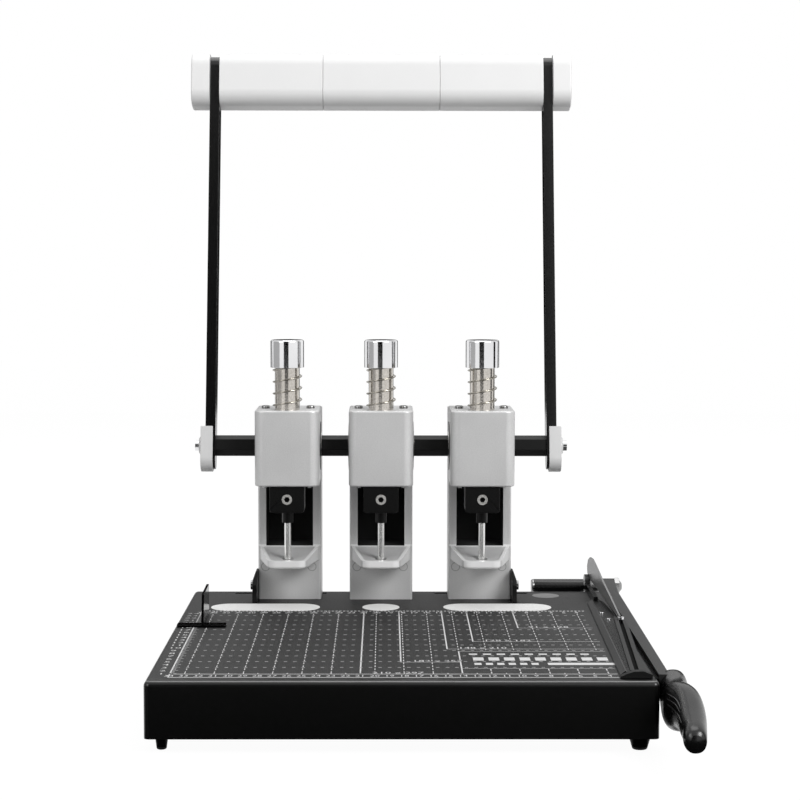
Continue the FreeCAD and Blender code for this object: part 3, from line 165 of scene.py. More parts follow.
def finish(name, colour, roughness, metallic=0.0, coat=0.0, grain=1500.0, relief=0.02, stretch=(1, 1, 1),
           cloud=0.06, cloud_scale=25.0, specular=0.5, speckle=0.0):
    """A painted, plated or moulded surface: colour clouds, fine specks, uneven gloss and a fine relief."""
    material, nodes, links, shader = new_material(name)
    shader.inputs["Metallic"].default_value = metallic
    shader.inputs["Coat Weight"].default_value = coat
    shader.inputs["Coat Roughness"].default_value = 0.08
    shader.inputs["Specular IOR Level"].default_value = specular
    fine = object_noise(nodes, links, grain, stretch)
    broad = object_noise(nodes, links, cloud_scale, detail=2.0)
    mix = nodes.new("ShaderNodeMix")
    mix.data_type = "RGBA"
    mix.inputs["A"].default_value = (*[c * (1 - cloud) for c in colour], 1)
    mix.inputs["B"].default_value = (*[min(1.0, c * (1 + cloud)) for c in colour], 1)
    links.new(spread(nodes, links, broad, 0.0, 1.0), mix.inputs["Factor"])
    paint = mix.outputs["Result"]
    if speckle:
        specks = nodes.new("ShaderNodeMix")
        specks.data_type = "RGBA"
        specks.blend_type = "MULTIPLY"
        specks.inputs["Factor"].default_value = 1.0
        links.new(paint, specks.inputs["A"])
        links.new(spread(nodes, links, fine, 1 - speckle, 1 + speckle), specks.inputs["B"])
        paint = specks.outputs["Result"]
    links.new(paint, shader.inputs["Base Color"])
    links.new(spread(nodes, links, fine, roughness * 0.85, min(1.0, roughness * 1.15)),
              shader.inputs["Roughness"])
    bump = nodes.new("ShaderNodeBump")
    bump.inputs["Strength"].default_value = relief
    bump.inputs["Distance"].default_value = 0.0004
    links.new(fine, bump.inputs["Height"])
    links.new(bump.outputs["Normal"], shader.inputs["Normal"])
    return material


def within(nodes, links, low, high, lean=(0, 0)):
    """1 inside a box of the piece's own space, 0 outside; lean shifts its x and z along y."""
    place, apart = nodes.new("ShaderNodeTexCoord"), nodes.new("ShaderNodeSeparateXYZ")
    links.new(place.outputs["Object"], apart.inputs["Vector"])
    inside = None
    for axis, lower, upper, shift in zip("XYZ", low, high, (lean[0], 0, lean[1])):
        upright, near = nodes.new("ShaderNodeMath"), nodes.new("ShaderNodeMath")
        upright.operation, near.operation = "MULTIPLY_ADD", "COMPARE"
        upright.inputs[1].default_value = -shift
        near.inputs[1].default_value = (lower + upper) / 2
        near.inputs[2].default_value = (upper - lower) / 2
        links.new(apart.outputs["Y"], upright.inputs[0])
        links.new(apart.outputs[axis], upright.inputs[2])
        links.new(upright.outputs[0], near.inputs[0])
        if inside is None:
            inside = near.outputs[0]
            continue
        both = nodes.new("ShaderNodeMath")
        both.operation = "MULTIPLY"
        links.new(inside, both.inputs[0])
        links.new(near.outputs[0], both.inputs[1])
        inside = both.outputs[0]
    return inside


def patch(material, low, high, grey=0.002, roughness=0.9, metallic=0.0, lean=(0, 0)):
    """Another paint inside a box (in millimetres), such as painted shade in a hollow or a screw's socket, or a
    painted highlight.
    """
    nodes, links = material.node_tree.nodes, material.node_tree.links
    shader = nodes["Principled BSDF"]
    mask = within(nodes, links, [v * MM for v in low], [v * MM for v in high], lean)
    colour = nodes.new("ShaderNodeMix")
    colour.data_type = "RGBA"
    links.new(mask, colour.inputs["Factor"])
    links.new(shader.inputs["Base Color"].links[0].from_socket, colour.inputs["A"])
    colour.inputs["B"].default_value = (grey, grey, grey, 1)
    links.new(colour.outputs["Result"], shader.inputs["Base Color"])
    for socket, inner in (("Metallic", metallic), ("Roughness", roughness)):
        value = nodes.new("ShaderNodeMix")
        links.new(mask, value.inputs["Factor"])
        source = shader.inputs[socket].links
        if source:
            links.new(source[0].from_socket, value.inputs["A"])
        else:
            value.inputs["A"].default_value = shader.inputs[socket].default_value
        value.inputs["B"].default_value = inner
        links.new(value.outputs["Result"], shader.inputs[socket])
    return material


SILVER = dict(colour=(0.645, 0.645, 0.645), roughness=0.40, metallic=0.3, grain=1300, relief=0.10, cloud=0.04,
              speckle=0.07)
STEEL_SCREW = dict(colour=(0.55, 0.54, 0.52), roughness=0.22, metallic=0.6, grain=700, relief=0.25, speckle=0.25)

FINISHES = {
    "bed_enamel_with_painted_light": finish("bed_enamel_with_painted_light", (0.0045, 0.0045, 0.0045), 0.50, grain=2600, relief=0.10, cloud=0.1,
                         specular=0.42),
    "silver_paint": finish("silver_paint", **SILVER),
    "chrome_plate": finish("chrome_plate", (0.80, 0.80, 0.81), 0.09, metallic=1.0, grain=400, relief=0.0),
    "pin_steel": finish("pin_steel", (0.84, 0.84, 0.83), 0.15, metallic=0.82, grain=500, relief=0.0),
    "ground_steel": finish("ground_steel", (0.52, 0.51, 0.50), 0.28, metallic=1.0, grain=900,
                           stretch=(1, 1, 14), relief=0.06),
    "ram_steel": finish("ram_steel", (0.56, 0.53, 0.49), 0.12, metallic=1.0, grain=1100, stretch=(1, 1, 0.6),
                        relief=0.07, speckle=0.16),
    "spring_wire": finish("spring_wire", (0.36, 0.34, 0.30), 0.16, metallic=1.0, grain=900, relief=0.03),
    "dark_chrome": finish("dark_chrome", (0.30, 0.30, 0.30), 0.12, metallic=1.0, grain=400, relief=0.0),
    "black_oxide": finish("black_oxide", (0.003, 0.003, 0.003), 0.30, grain=1500, relief=0.06, specular=0.2),
    "shaft_black": finish("shaft_black", (0.009, 0.009, 0.009), 0.36, grain=1500, relief=0.06, specular=0.15),
    "black_gloss": finish("black_gloss", (0.003, 0.003, 0.003), 0.20, grain=900, relief=0.02),
    "stop_black": finish("stop_black", (0.0015, 0.0015, 0.0015), 0.12, grain=1500, relief=0.02, specular=0.1),
    "dark_grey_paint": finish("dark_grey_paint", (0.008, 0.008, 0.008), 0.46, grain=2600, relief=0.10),
    "pale_grey_paint": finish("pale_grey_paint", (0.17, 0.17, 0.17), 0.34, grain=1800, relief=0.08),
    "grip_white": finish("grip_white", (0.78, 0.78, 0.78), 0.32, grain=1200, relief=0.03, cloud=0.01),
    "cover_grey": finish("cover_grey", (0.64, 0.64, 0.64), 0.34, grain=1600, relief=0.05, cloud=0.02),
    "pad_nylon": finish("pad_nylon", (0.86, 0.86, 0.85), 0.5, grain=700, relief=0.05, cloud=0.02),
    "handle_moulding": finish("handle_moulding", (0.0018, 0.0018, 0.0018), 0.24, grain=300, relief=0.004),
    "foot_rubber": finish("foot_rubber", (0.002, 0.002, 0.002), 0.45, grain=1800, relief=0.12, specular=0.1),
    "print_ink": finish("print_ink", (0.62, 0.62, 0.62), 0.55, grain=2400, relief=0.05, cloud=0.05),
    "faded_ink": finish("faded_ink", (0.34, 0.34, 0.34), 0.55, grain=2400, relief=0.05, cloud=0.1),
    "plug_line": finish("plug_line", (0.30, 0.30, 0.30), 0.45, grain=1300, relief=0.05),
    "disc_label": finish("disc_label", (0.21, 0.21, 0.21), 0.35, grain=900, relief=0.04, cloud=0.05),
}


def paint_bed():
    """Painted shade on the walls and in a dark strip before the front bend, and a painted highlight line on it."""
    bed = FINISHES["bed_enamel_with_painted_light"]
    # painted shade on the walls, painted shade on the strip before the bend, painted highlight on the bend's line
    patch(bed, (-BEYOND, -BEYOND, -60), (BEYOND, 200, BED_FACE_Z), 0.0008, 0.28)
    patch(bed, (-BEYOND, -330, BED_FACE_Z), (BEYOND, BEND_Y, 1), 0.0015, 0.28)
    patch(bed, (-BEYOND, -330, BEND_HIGHLIGHT_Z), (BEND_HIGHLIGHT_END, BEND_Y, BED_FACE_Z), 0.16, 0.4)


def paint_heads():
    """Each tower's painted highlights on the lip and painted shade in its black window, and painted shade in each
    set screw's socket.
    """
    for head, place in HEADS.items():
        x, front = place / MM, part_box(head + "_pin_screw")[0][1] / MM
        tower = FINISHES[head + "_tower_paint_with_painted_light"] = finish(head + "_tower_paint_with_painted_light", **SILVER)
        # painted highlights along the lip's rim and on its front bar
        patch(tower, (x - 40, -60, LIP_EDGE_Z + LIP_RIM_HIGHLIGHT[0]), (x + 40, 0.5, LIP_EDGE_Z + LIP_RIM_HIGHLIGHT[1]),
              0.82, 0.35, 0.1, (0, LIP_SLOPE))
        patch(tower, (x - 40, LIP_BAR_HIGHLIGHT_Y[0], LIP_BAR_HIGHLIGHT_Z[0]), (x + 40, LIP_BAR_HIGHLIGHT_Y[1], LIP_BAR_HIGHLIGHT_Z[1]), 0.85, 0.35, 0.1)
        # painted shade: the hollow behind the ram made black
        patch(tower, (x - WINDOW_SHADE_HALF_WIDTH, WINDOW_SHADE_Y[0], WINDOW_SHADE_Z[0]),
              (x + WINDOW_SHADE_HALF_WIDTH, WINDOW_SHADE_Y[1], WINDOW_SHADE_Z[1]))
        height = middle_of(head + "_pin_screw", 2) / MM
        screw = FINISHES[head + "_set_screw_with_painted_shade"] = finish(head + "_set_screw_with_painted_shade", **STEEL_SCREW)
        # painted shade: the set screw's socket made black
        patch(screw, (x - SOCKET_SHADE_HALF, front + 0.1, height - SOCKET_SHADE_HALF),
              (x + SOCKET_SHADE_HALF, front + 8, height + SOCKET_SHADE_HALF))


def paint_clamp():
    """Painted highlights on the flange and channel rims, painted shadow in the black groove, and the dark front end.
    """
    clamp = FINISHES["clamp_paint_with_painted_light"] = finish("clamp_paint_with_painted_light", (0.004, 0.004, 0.004), 0.28, grain=2600, relief=0.08,
                                             specular=0.25)
    for x0, x1, rear, z0, z1, slant, grey, roughness in (
            (162.2, 168.0, -20, 0, 9, FLANGE_SLANT, 0.055, 0.46),           # flange, lighter as painted highlight
            (170.0, 179.2, -109, 1, 9, CHANNEL_SLANT, 0.014, 0.46),         # rims, lighter as painted highlight
            (172.8, 176.1, -109, 0, 4.4, CHANNEL_SLANT, 0.0005, 0.9)):      # groove, black as painted shadow
        run = -slant * CLAMP_FRONT
        patch(clamp, (x0 + run, -310, z0), (x1 + run, rear, z1), grey, roughness, 0.0, (slant, 0))
    patch(clamp, (150, -320, -1), (200, CLAMP_FRONT + 0.1, 9), 0.002, 0.5)


paint_bed()
paint_heads()
paint_clamp()


# ------------------------------------------------------------------ node trees
def shade_tree(limit_degrees):
    """Smooth faces, with a crisp edge wherever two faces meet at more than the limit."""
    tree = bpy.data.node_groups.new("crisp_edges", "GeometryNodeTree")
    tree.interface.new_socket("Geometry", in_out="INPUT", socket_type="NodeSocketGeometry")
    limit = tree.interface.new_socket("Edge limit", in_out="INPUT", socket_type="NodeSocketFloat")
    limit.default_value = math.radians(limit_degrees)
    tree.interface.new_socket("Geometry", in_out="OUTPUT", socket_type="NodeSocketGeometry")
    nodes, links = tree.nodes, tree.links
    enter, leave = nodes.new("NodeGroupInput"), nodes.new("NodeGroupOutput")
    faces, edges = nodes.new("GeometryNodeSetShadeSmooth"), nodes.new("GeometryNodeSetShadeSmooth")
    angle, sharper = nodes.new("GeometryNodeInputMeshEdgeAngle"), nodes.new("FunctionNodeCompare")
    edges.domain = "EDGE"
    edges.inputs["Shade Smooth"].default_value = False
    sharper.operation = "GREATER_THAN"
    links.new(enter.outputs["Geometry"], faces.inputs["Geometry"])
    links.new(faces.outputs["Geometry"], edges.inputs["Geometry"])
    links.new(angle.outputs["Unsigned Angle"], sharper.inputs[0])
    links.new(enter.outputs["Edge limit"], sharper.inputs[1])
    links.new(sharper.outputs["Result"], edges.inputs["Selection"])
    links.new(edges.outputs["Geometry"], leave.inputs["Geometry"])
    return tree


def sized_tree(name, sizes):
    """An empty tree with a named input for each size; returns the tree, its input node and its output."""
    tree = bpy.data.node_groups.new(name, "GeometryNodeTree")
    tree.interface.new_socket("Geometry", in_out="OUTPUT", socket_type="NodeSocketGeometry")
    for label, kind in sizes.items():
        tree.interface.new_socket(label, in_out="INPUT", socket_type="NodeSocket" + kind)
    return tree, tree.nodes.new("NodeGroupInput"), tree.nodes.new("NodeGroupOutput")


def end_tree(tree, geometry, enter, leave):
    """Realize Instances and Set Material, then out."""
    real, paint = tree.nodes.new("GeometryNodeRealizeInstances"), tree.nodes.new("GeometryNodeSetMaterial")
    tree.links.new(geometry, real.inputs["Geometry"])
    tree.links.new(real.outputs["Geometry"], paint.inputs["Geometry"])
    tree.links.new(enter.outputs["Finish"], paint.inputs["Material"])
    tree.links.new(paint.outputs["Geometry"], leave.inputs["Geometry"])


def coil_tree():
    """A round wire on a helix."""
    tree, enter, leave = sized_tree("coil", {"Turns": "Float", "Radius": "Float", "Height": "Float",
                                             "Wire radius": "Float", "Place": "Vector", "Start angle": "Float",
                                             "Finish": "Material"})
    nodes, links = tree.nodes, tree.links
    spiral = nodes.new("GeometryNodeCurveSpiral")
    wire = nodes.new("GeometryNodeCurvePrimitiveCircle")
    sweep, place = nodes.new("GeometryNodeCurveToMesh"), nodes.new("GeometryNodeTransform")
    turn, smooth = nodes.new("ShaderNodeCombineXYZ"), nodes.new("GeometryNodeSetShadeSmooth")
    spiral.inputs["Resolution"].default_value = 56
    spiral.inputs["Reverse"].default_value = True
    wire.inputs["Resolution"].default_value = 14
    sweep.inputs["Fill Caps"].default_value = True
    links.new(enter.outputs["Turns"], spiral.inputs["Rotations"])
    links.new(enter.outputs["Radius"], spiral.inputs["Start Radius"])
    links.new(enter.outputs["Radius"], spiral.inputs["End Radius"])
    links.new(enter.outputs["Height"], spiral.inputs["Height"])
    links.new(enter.outputs["Wire radius"], wire.inputs["Radius"])
    links.new(spiral.outputs["Curve"], sweep.inputs["Curve"])
    links.new(wire.outputs["Curve"], sweep.inputs["Profile Curve"])
    links.new(sweep.outputs["Mesh"], smooth.inputs["Geometry"])
    links.new(enter.outputs["Start angle"], turn.inputs["Z"])
    links.new(smooth.outputs["Geometry"], place.inputs["Geometry"])
    links.new(turn.outputs["Vector"], place.inputs["Rotation"])
    links.new(enter.outputs["Place"], place.inputs["Translation"])
    end_tree(tree, place.outputs["Geometry"], enter, leave)
    return tree


def marks_tree():
    """Rows and columns of small printed rectangles."""
    tree, enter, leave = sized_tree("printed_marks", {
        "Columns": "Int", "Rows": "Int", "Column step": "Float", "Row step": "Float", "First mark": "Vector",
        "Mark width": "Float", "Mark depth": "Float", "Finish": "Material"})
    nodes, links = tree.nodes, tree.links
    row, column = nodes.new("GeometryNodeMeshLine"), nodes.new("GeometryNodeMeshLine")
    across, down = nodes.new("ShaderNodeCombineXYZ"), nodes.new("ShaderNodeCombineXYZ")
    rows, marks = nodes.new("GeometryNodeInstanceOnPoints"), nodes.new("GeometryNodeInstanceOnPoints")
    real, mark = nodes.new("GeometryNodeRealizeInstances"), nodes.new("GeometryNodeMeshGrid")
    mark.inputs["Vertices X"].default_value = 2
    mark.inputs["Vertices Y"].default_value = 2
    links.new(enter.outputs["Columns"], row.inputs["Count"])
    links.new(enter.outputs["Rows"], column.inputs["Count"])
    links.new(enter.outputs["Column step"], across.inputs["X"])
    links.new(enter.outputs["Row step"], down.inputs["Y"])
    links.new(across.outputs["Vector"], row.inputs["Offset"])
    links.new(down.outputs["Vector"], column.inputs["Offset"])
    links.new(enter.outputs["First mark"], column.inputs["Start Location"])
    links.new(column.outputs["Mesh"], rows.inputs["Points"])
    links.new(row.outputs["Mesh"], rows.inputs["Instance"])
    links.new(rows.outputs["Instances"], real.inputs["Geometry"])
    links.new(real.outputs["Geometry"], marks.inputs["Points"])
    links.new(enter.outputs["Mark width"], mark.inputs["Size X"])
    links.new(enter.outputs["Mark depth"], mark.inputs["Size Y"])
    links.new(mark.outputs["Mesh"], marks.inputs["Instance"])
    end_tree(tree, marks.outputs["Instances"], enter, leave)
    return tree


def plain_mesh(name, tree, values):
    """Runs a tree on an empty mesh and returns its result as a plain mesh."""
    holder = bpy.data.objects.new(name, bpy.data.meshes.new(name))
    bpy.context.scene.collection.objects.link(holder)
    modifier = holder.modifiers.new("shape", "NODES")
    modifier.node_group = tree
    keys = {s.name: s.identifier for s in tree.interface.items_tree if s.in_out == "INPUT"}
    for label, value in values.items():
        modifier[keys[label]] = value
    graph = bpy.context.evaluated_depsgraph_get()
    mesh = bpy.data.meshes.new_from_object(holder.evaluated_get(graph), depsgraph=graph)
    bpy.data.objects.remove(holder)
    mesh.name = name
    return mesh


# ------------------------------------------------------------------ pieces
def place_piece(name, mesh, body):
    """A new piece that rides on a body."""
    piece = bpy.data.objects.new(name, mesh)
    bpy.context.scene.collection.objects.link(piece)
    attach(piece, body)
    return piece


def joined(name, meshes, material):
    """Several meshes as one."""
    whole = bmesh.new()
    for mesh in meshes:
        whole.from_mesh(mesh)
        bpy.data.meshes.remove(mesh)
    mesh = bpy.data.meshes.new(name)
    whole.to_mesh(mesh)
    whole.free()
    mesh.materials.clear()
    mesh.materials.append(material)
    for polygon in mesh.polygons:
        polygon.material_index = 0
    return mesh


WELD_DISTANCE = 1e-6
FLAT_ANGLE = math.radians(0.5)          # faces flatter than this are one face
BEVEL_ANGLE = math.radians(40)          # edges sharper than this get a radius
SMOOTH_DEGREES = 35


def dress_nodes(crisp):
    """Gives every CAD node its finish, small edge radii and clean shading."""
    dress = {
        "bed": ("bed_enamel_with_painted_light", 0), "feet": ("foot_rubber", 0.5), "cutting_pads": ("pad_nylon", 0.15),
        # the ledger blade takes the black finish as painted shade in the gap beside the arm
        "pad_tray": ("black_oxide", 0.3), "ledger_blade": ("stop_black", 0.15),
        "pivot_bracket": ("black_gloss", 0.4), "pivot_pin": ("dark_chrome", 0.3), "shaft": ("shaft_black", 0.4),
        "arms": ("black_gloss", 0.8), "grip": ("grip_white", 0.4), "grip_caps": ("grip_white", 0.4),
        "grip_rod": ("ground_steel", 0.3), "hub_covers": ("cover_grey", 0.5), "hub_screws": ("chrome_plate", 0.3),
        "side_stop": ("stop_black", 0.2), "cutter_arm": ("dark_grey_paint", 0.6),
        "cutter_blade": ("stop_black", 0.15), "blade_screws": ("black_oxide", 0.3),
        "clamp_bar": ("clamp_paint_with_painted_light", 0.15), "press_lever": ("pale_grey_paint", 0.2),
        "clamp_screws": ("chrome_plate", 0.3), "left_bracket": ("black_oxide", 0.4),
        "right_bracket": ("black_oxide", 0.4),
    }
    for head in HEADS:
        dress.update({head + "_" + piece: look for piece, look in {
            "tower": (head + "_tower_paint_with_painted_light", 0.35), "housing": ("silver_paint", 0.2), "bushes": ("black_oxide", 0.4),
            "ram_guides": ("ground_steel", 0.3), "screws": ("dark_chrome", 0.2), "ram": ("ram_steel", 0.1),
            "cap": ("chrome_plate", 0.3), "chuck": ("black_oxide", 0.5), "pin": ("pin_steel", 0.1),
            "pin_screw": (head + "_set_screw_with_painted_shade", 0.25), "pinion": ("ground_steel", 0.05)}.items()})
    for node, (look, edge) in dress.items():
        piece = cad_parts[node]
        piece.material_slots[0].material = FINISHES[look]
        weld = piece.modifiers.new("weld", "WELD")
        weld.merge_threshold = WELD_DISTANCE
        if edge:
            flat = piece.modifiers.new("flat_faces", "DECIMATE")
            flat.decimate_type = "DISSOLVE"
            flat.angle_limit = FLAT_ANGLE
            bevel = piece.modifiers.new("edge_radius", "BEVEL")
            bevel.width = edge * MM
            bevel.segments = 2
            bevel.limit_method = "ANGLE"
            bevel.angle_limit = BEVEL_ANGLE
        shade = piece.modifiers.new("crisp_edges", "NODES")
        shade.node_group = crisp
        even = piece.modifiers.new("flat_normals", "WEIGHTED_NORMAL")
        even.mode = "FACE_AREA"
        even.keep_sharp = True


def add_springs(coil):
    """The return springs, each on its head's body."""
    for head, x in HEADS.items():
        mesh = plain_mesh(head + "_coil", coil, {
            "Turns": (SPRING_HIGH - SPRING_LOW) / SPRING_PITCH, "Radius": SPRING_R,
            "Height": SPRING_HIGH - SPRING_LOW, "Wire radius": SPRING_WIRE, "Place": (x, RAM_Y, SPRING_LOW),
            "Start angle": SPRING_START, "Finish": FINISHES["spring_wire"]})
        spring = place_piece(head + "_coil", mesh, HEAD_BODY[head])
        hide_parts(head + "_spring")
        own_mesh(spring)


HANDLE_SECTIONS = (      # y, x centre, z centre, half width, half height, in millimetres
    (-284.0, 201.6, -6.0, 7.6, 6.4), (-290.0, 201.2, -7.2, 8.8, 8.9), (-298.0, 200.6, -10.0, 9.7, 11.4),
    (-308.0, 199.6, -14.2, 9.6, 14.6), (-318.0, 199.4, -16.5, 9.8, 16.7), (-328.0, 201.4, -15.6, 10.6, 16.8),
    (-340.0, 203.2, -14.0, 10.1, 14.8), (-354.0, 203.6, -14.8, 9.6, 12.6), (-370.0, 202.8, -17.4, 9.1, 10.8),
    (-383.0, 202.0, -19.8, 8.0, 9.9), (-392.0, 201.0, -21.2, 7.7, 9.0), (-397.5, 200.8, -22.2, 6.6, 7.6),
    (-400.0, 200.8, -22.4, 3.6, 4.4))
HANDLE_SQUARENESS = 0.86                # power of the oval sections, 1 for a true ellipse
HANDLE_POINTS = 48
HANDLE_STEPS = 4                        # rings between two sections
HANDLE_BESIDE_BED = (190.3, -321.5)     # flat inner side, and the Y where it ends
RIDGE_Y = -335.0
FINGER_RIDGES = (        # x and z at that Y of three raised ridges, laid on the handle's front
    ((190.6, -4.9), (193.6, -6.8), (196.7, -8.8), (198.8, -11.9), (199.9, -15.6)),
    ((190.7, -8.4), (193.2, -10.2), (196.3, -12.2), (198.1, -14.6), (199.4, -17.7)),
    ((190.8, -12.0), (193.3, -14.3), (196.4, -16.9), (198.4, -19.2), (199.7, -21.9), (200.5, -24.9)))
RIDGE_RADIUS = 0.55


def between(sections, steps):
    """Smooth in-between sections by Catmull-Rom."""
    rows = [sections[0], *sections, sections[-1]]
    out = []
    for a, b, c, d in zip(rows, rows[1:], rows[2:], rows[3:]):
        for k in range(steps):
            t = k / steps
            out.append([0.5 * (2 * q + (r - p) * t + (2 * p - 5 * q + 4 * r - u) * t * t
                               + (3 * q - p - 3 * r + u) * t ** 3) for p, q, r, u in zip(a, b, c, d)])
    return out + [list(sections[-1])]


def rounded(angle, power):
    """A cosine with its curve squared off by the power."""
    return math.copysign(abs(math.cos(angle)) ** power, math.cos(angle))


def handle_body():
    """The moulding: oval rings along Y, flat where it passes the bed, with a rounded nose."""
    body, loops = bmesh.new(), []
    beside_bed, bed_front = HANDLE_BESIDE_BED
    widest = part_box("cutter_grip")[1][0] / MM
    for y, x, z, half_width, half_height in between(HANDLE_SECTIONS, HANDLE_STEPS):
        loop = []
        for k in range(HANDLE_POINTS):
            a = 2 * math.pi * k / HANDLE_POINTS
            px = x + half_width * rounded(a, HANDLE_SQUARENESS)
            pz = z + half_height * rounded(a - math.pi / 2, HANDLE_SQUARENESS)
            if y > bed_front:
                px = max(px, beside_bed)
            px = min(px, widest)
            loop.append(body.verts.new(Vector((px, y, pz)) * MM))
        loops.append(loop)
    for first, second in zip(loops, loops[1:]):
        for k in range(HANDLE_POINTS):
            body.faces.new((first[k], first[(k + 1) % HANDLE_POINTS], second[(k + 1) % HANDLE_POINTS], second[k]))
    body.faces.new(reversed(loops[0]))
    body.faces.new(loops[-1])
    bmesh.ops.recalc_face_normals(body, faces=body.faces)
    return body


def ridge_mesh(points, surface):
    """A half-sunk round bead through points laid on the surface from the front."""
    curve = bpy.data.curves.new("ridge", "CURVE")
    curve.dimensions = "3D"
    curve.bevel_depth = RIDGE_RADIUS * MM
    curve.bevel_resolution = 3
    curve.use_fill_caps = True
    spline = curve.splines.new("NURBS")
    spline.points.add(len(points) - 1)
    eye = Vector(CAMERA_PLACE)
    for k, (x, z) in enumerate(points):
        point = Vector((x, RIDGE_Y, z)) * MM
        hit = surface.ray_cast(eye, point - eye)[0] or surface.find_nearest(point)[0]
        spline.points[k].co = (*hit, 1)
        spline.points[k].radius = 0.35 if k in (0, len(points) - 1) else 1.0
    spline.order_u = 3
    spline.use_endpoint_u = True
    holder = bpy.data.objects.new("ridge", curve)
    bpy.context.scene.collection.objects.link(holder)
    graph = bpy.context.evaluated_depsgraph_get()
    mesh = bpy.data.meshes.new_from_object(holder.evaluated_get(graph), depsgraph=graph)
    bpy.data.objects.remove(holder)
    return mesh


def add_handle():
    """The trimmer's moulded handle with three finger ridges."""
    body = handle_body()
    surface = BVHTree.FromBMesh(body)
    mesh = bpy.data.meshes.new("moulded_handle")
    body.to_mesh(mesh)
    body.free()
    beads = [ridge_mesh(points, surface) for points in FINGER_RIDGES]
    mesh = joined("moulded_handle", [mesh, *beads], FINISHES["handle_moulding"])
    mesh.shade_smooth()
    handle = place_piece("moulded_handle", mesh, "cutter")
    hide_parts("cutter_grip")


# ------------------------------------------------------------------ the bed's print
def strip(x0, x1, y0, y1):
    """One printed rectangle between two corners."""
    mesh = bpy.data.meshes.new("strip")
    mesh.from_pydata([(x0, y0, INK_Z), (x1, y0, INK_Z), (x1, y1, INK_Z), (x0, y1, INK_Z)], [], [(0, 1, 2, 3)])
    return mesh


def ruled_line(x0, x1, y0, y1, width):
    """A straight line of ink along X or Y."""
    half = width / 2
    if abs(x1 - x0) > abs(y1 - y0):
        return strip(min(x0, x1), max(x0, x1), y0 - half, y0 + half)
    return strip(x0 - half, x0 + half, min(y0, y1), max(y0, y1))


def numeral(text, x, y, height, widen=1.0, align="CENTER"):
    """Printed figures that read from the front, centred on x and standing on y."""
    curve = bpy.data.curves.new("numeral", "FONT")
    curve.body = text
    curve.size = height / 0.7
    curve.align_x = align
    curve.resolution_u = 2
    holder = bpy.data.objects.new("numeral", curve)
    bpy.context.scene.collection.objects.link(holder)
    graph = bpy.context.evaluated_depsgraph_get()
    mesh = bpy.data.meshes.new_from_object(holder.evaluated_get(graph), depsgraph=graph)
    bpy.data.objects.remove(holder)
    mesh.transform(Matrix.Translation((x, y, INK_Z)) @ Matrix.Diagonal((widen, 1, 1, 1)))
    return mesh


def marks(tree, columns, rows, step_x, step_y, x, y, width, depth, look="print_ink"):
    """Rows and columns of printed rectangles, the first one centred on x and y."""
    return plain_mesh("marks", tree, {
        "Columns": columns, "Rows": rows, "Column step": step_x, "Row step": step_y,
        "First mark": (x, y, INK_Z), "Mark width": width, "Mark depth": depth, "Finish": FINISHES[look]})


SHEETS = ((21.0, 297), (18.2, 257), (14.8, 210), (12.8, 182), (9.1, 128))   # width in cm, depth in mm
PANEL_LEFT = 14.0                       # the scale panel, in the ruler's centimetres
PANEL_Y = (-218.6 * MM, -278.3 * MM)
PRINT_RIGHT = 3.4
LONG_DASHED = (33, 31, 29, 27, 25, 23, 20, 18, 16)   # centimetres with a dashed line down the whole bed
SHORT_DASHED = (14, 12, 10, 8, 6, 4)                 # and those that stop at the scale panel


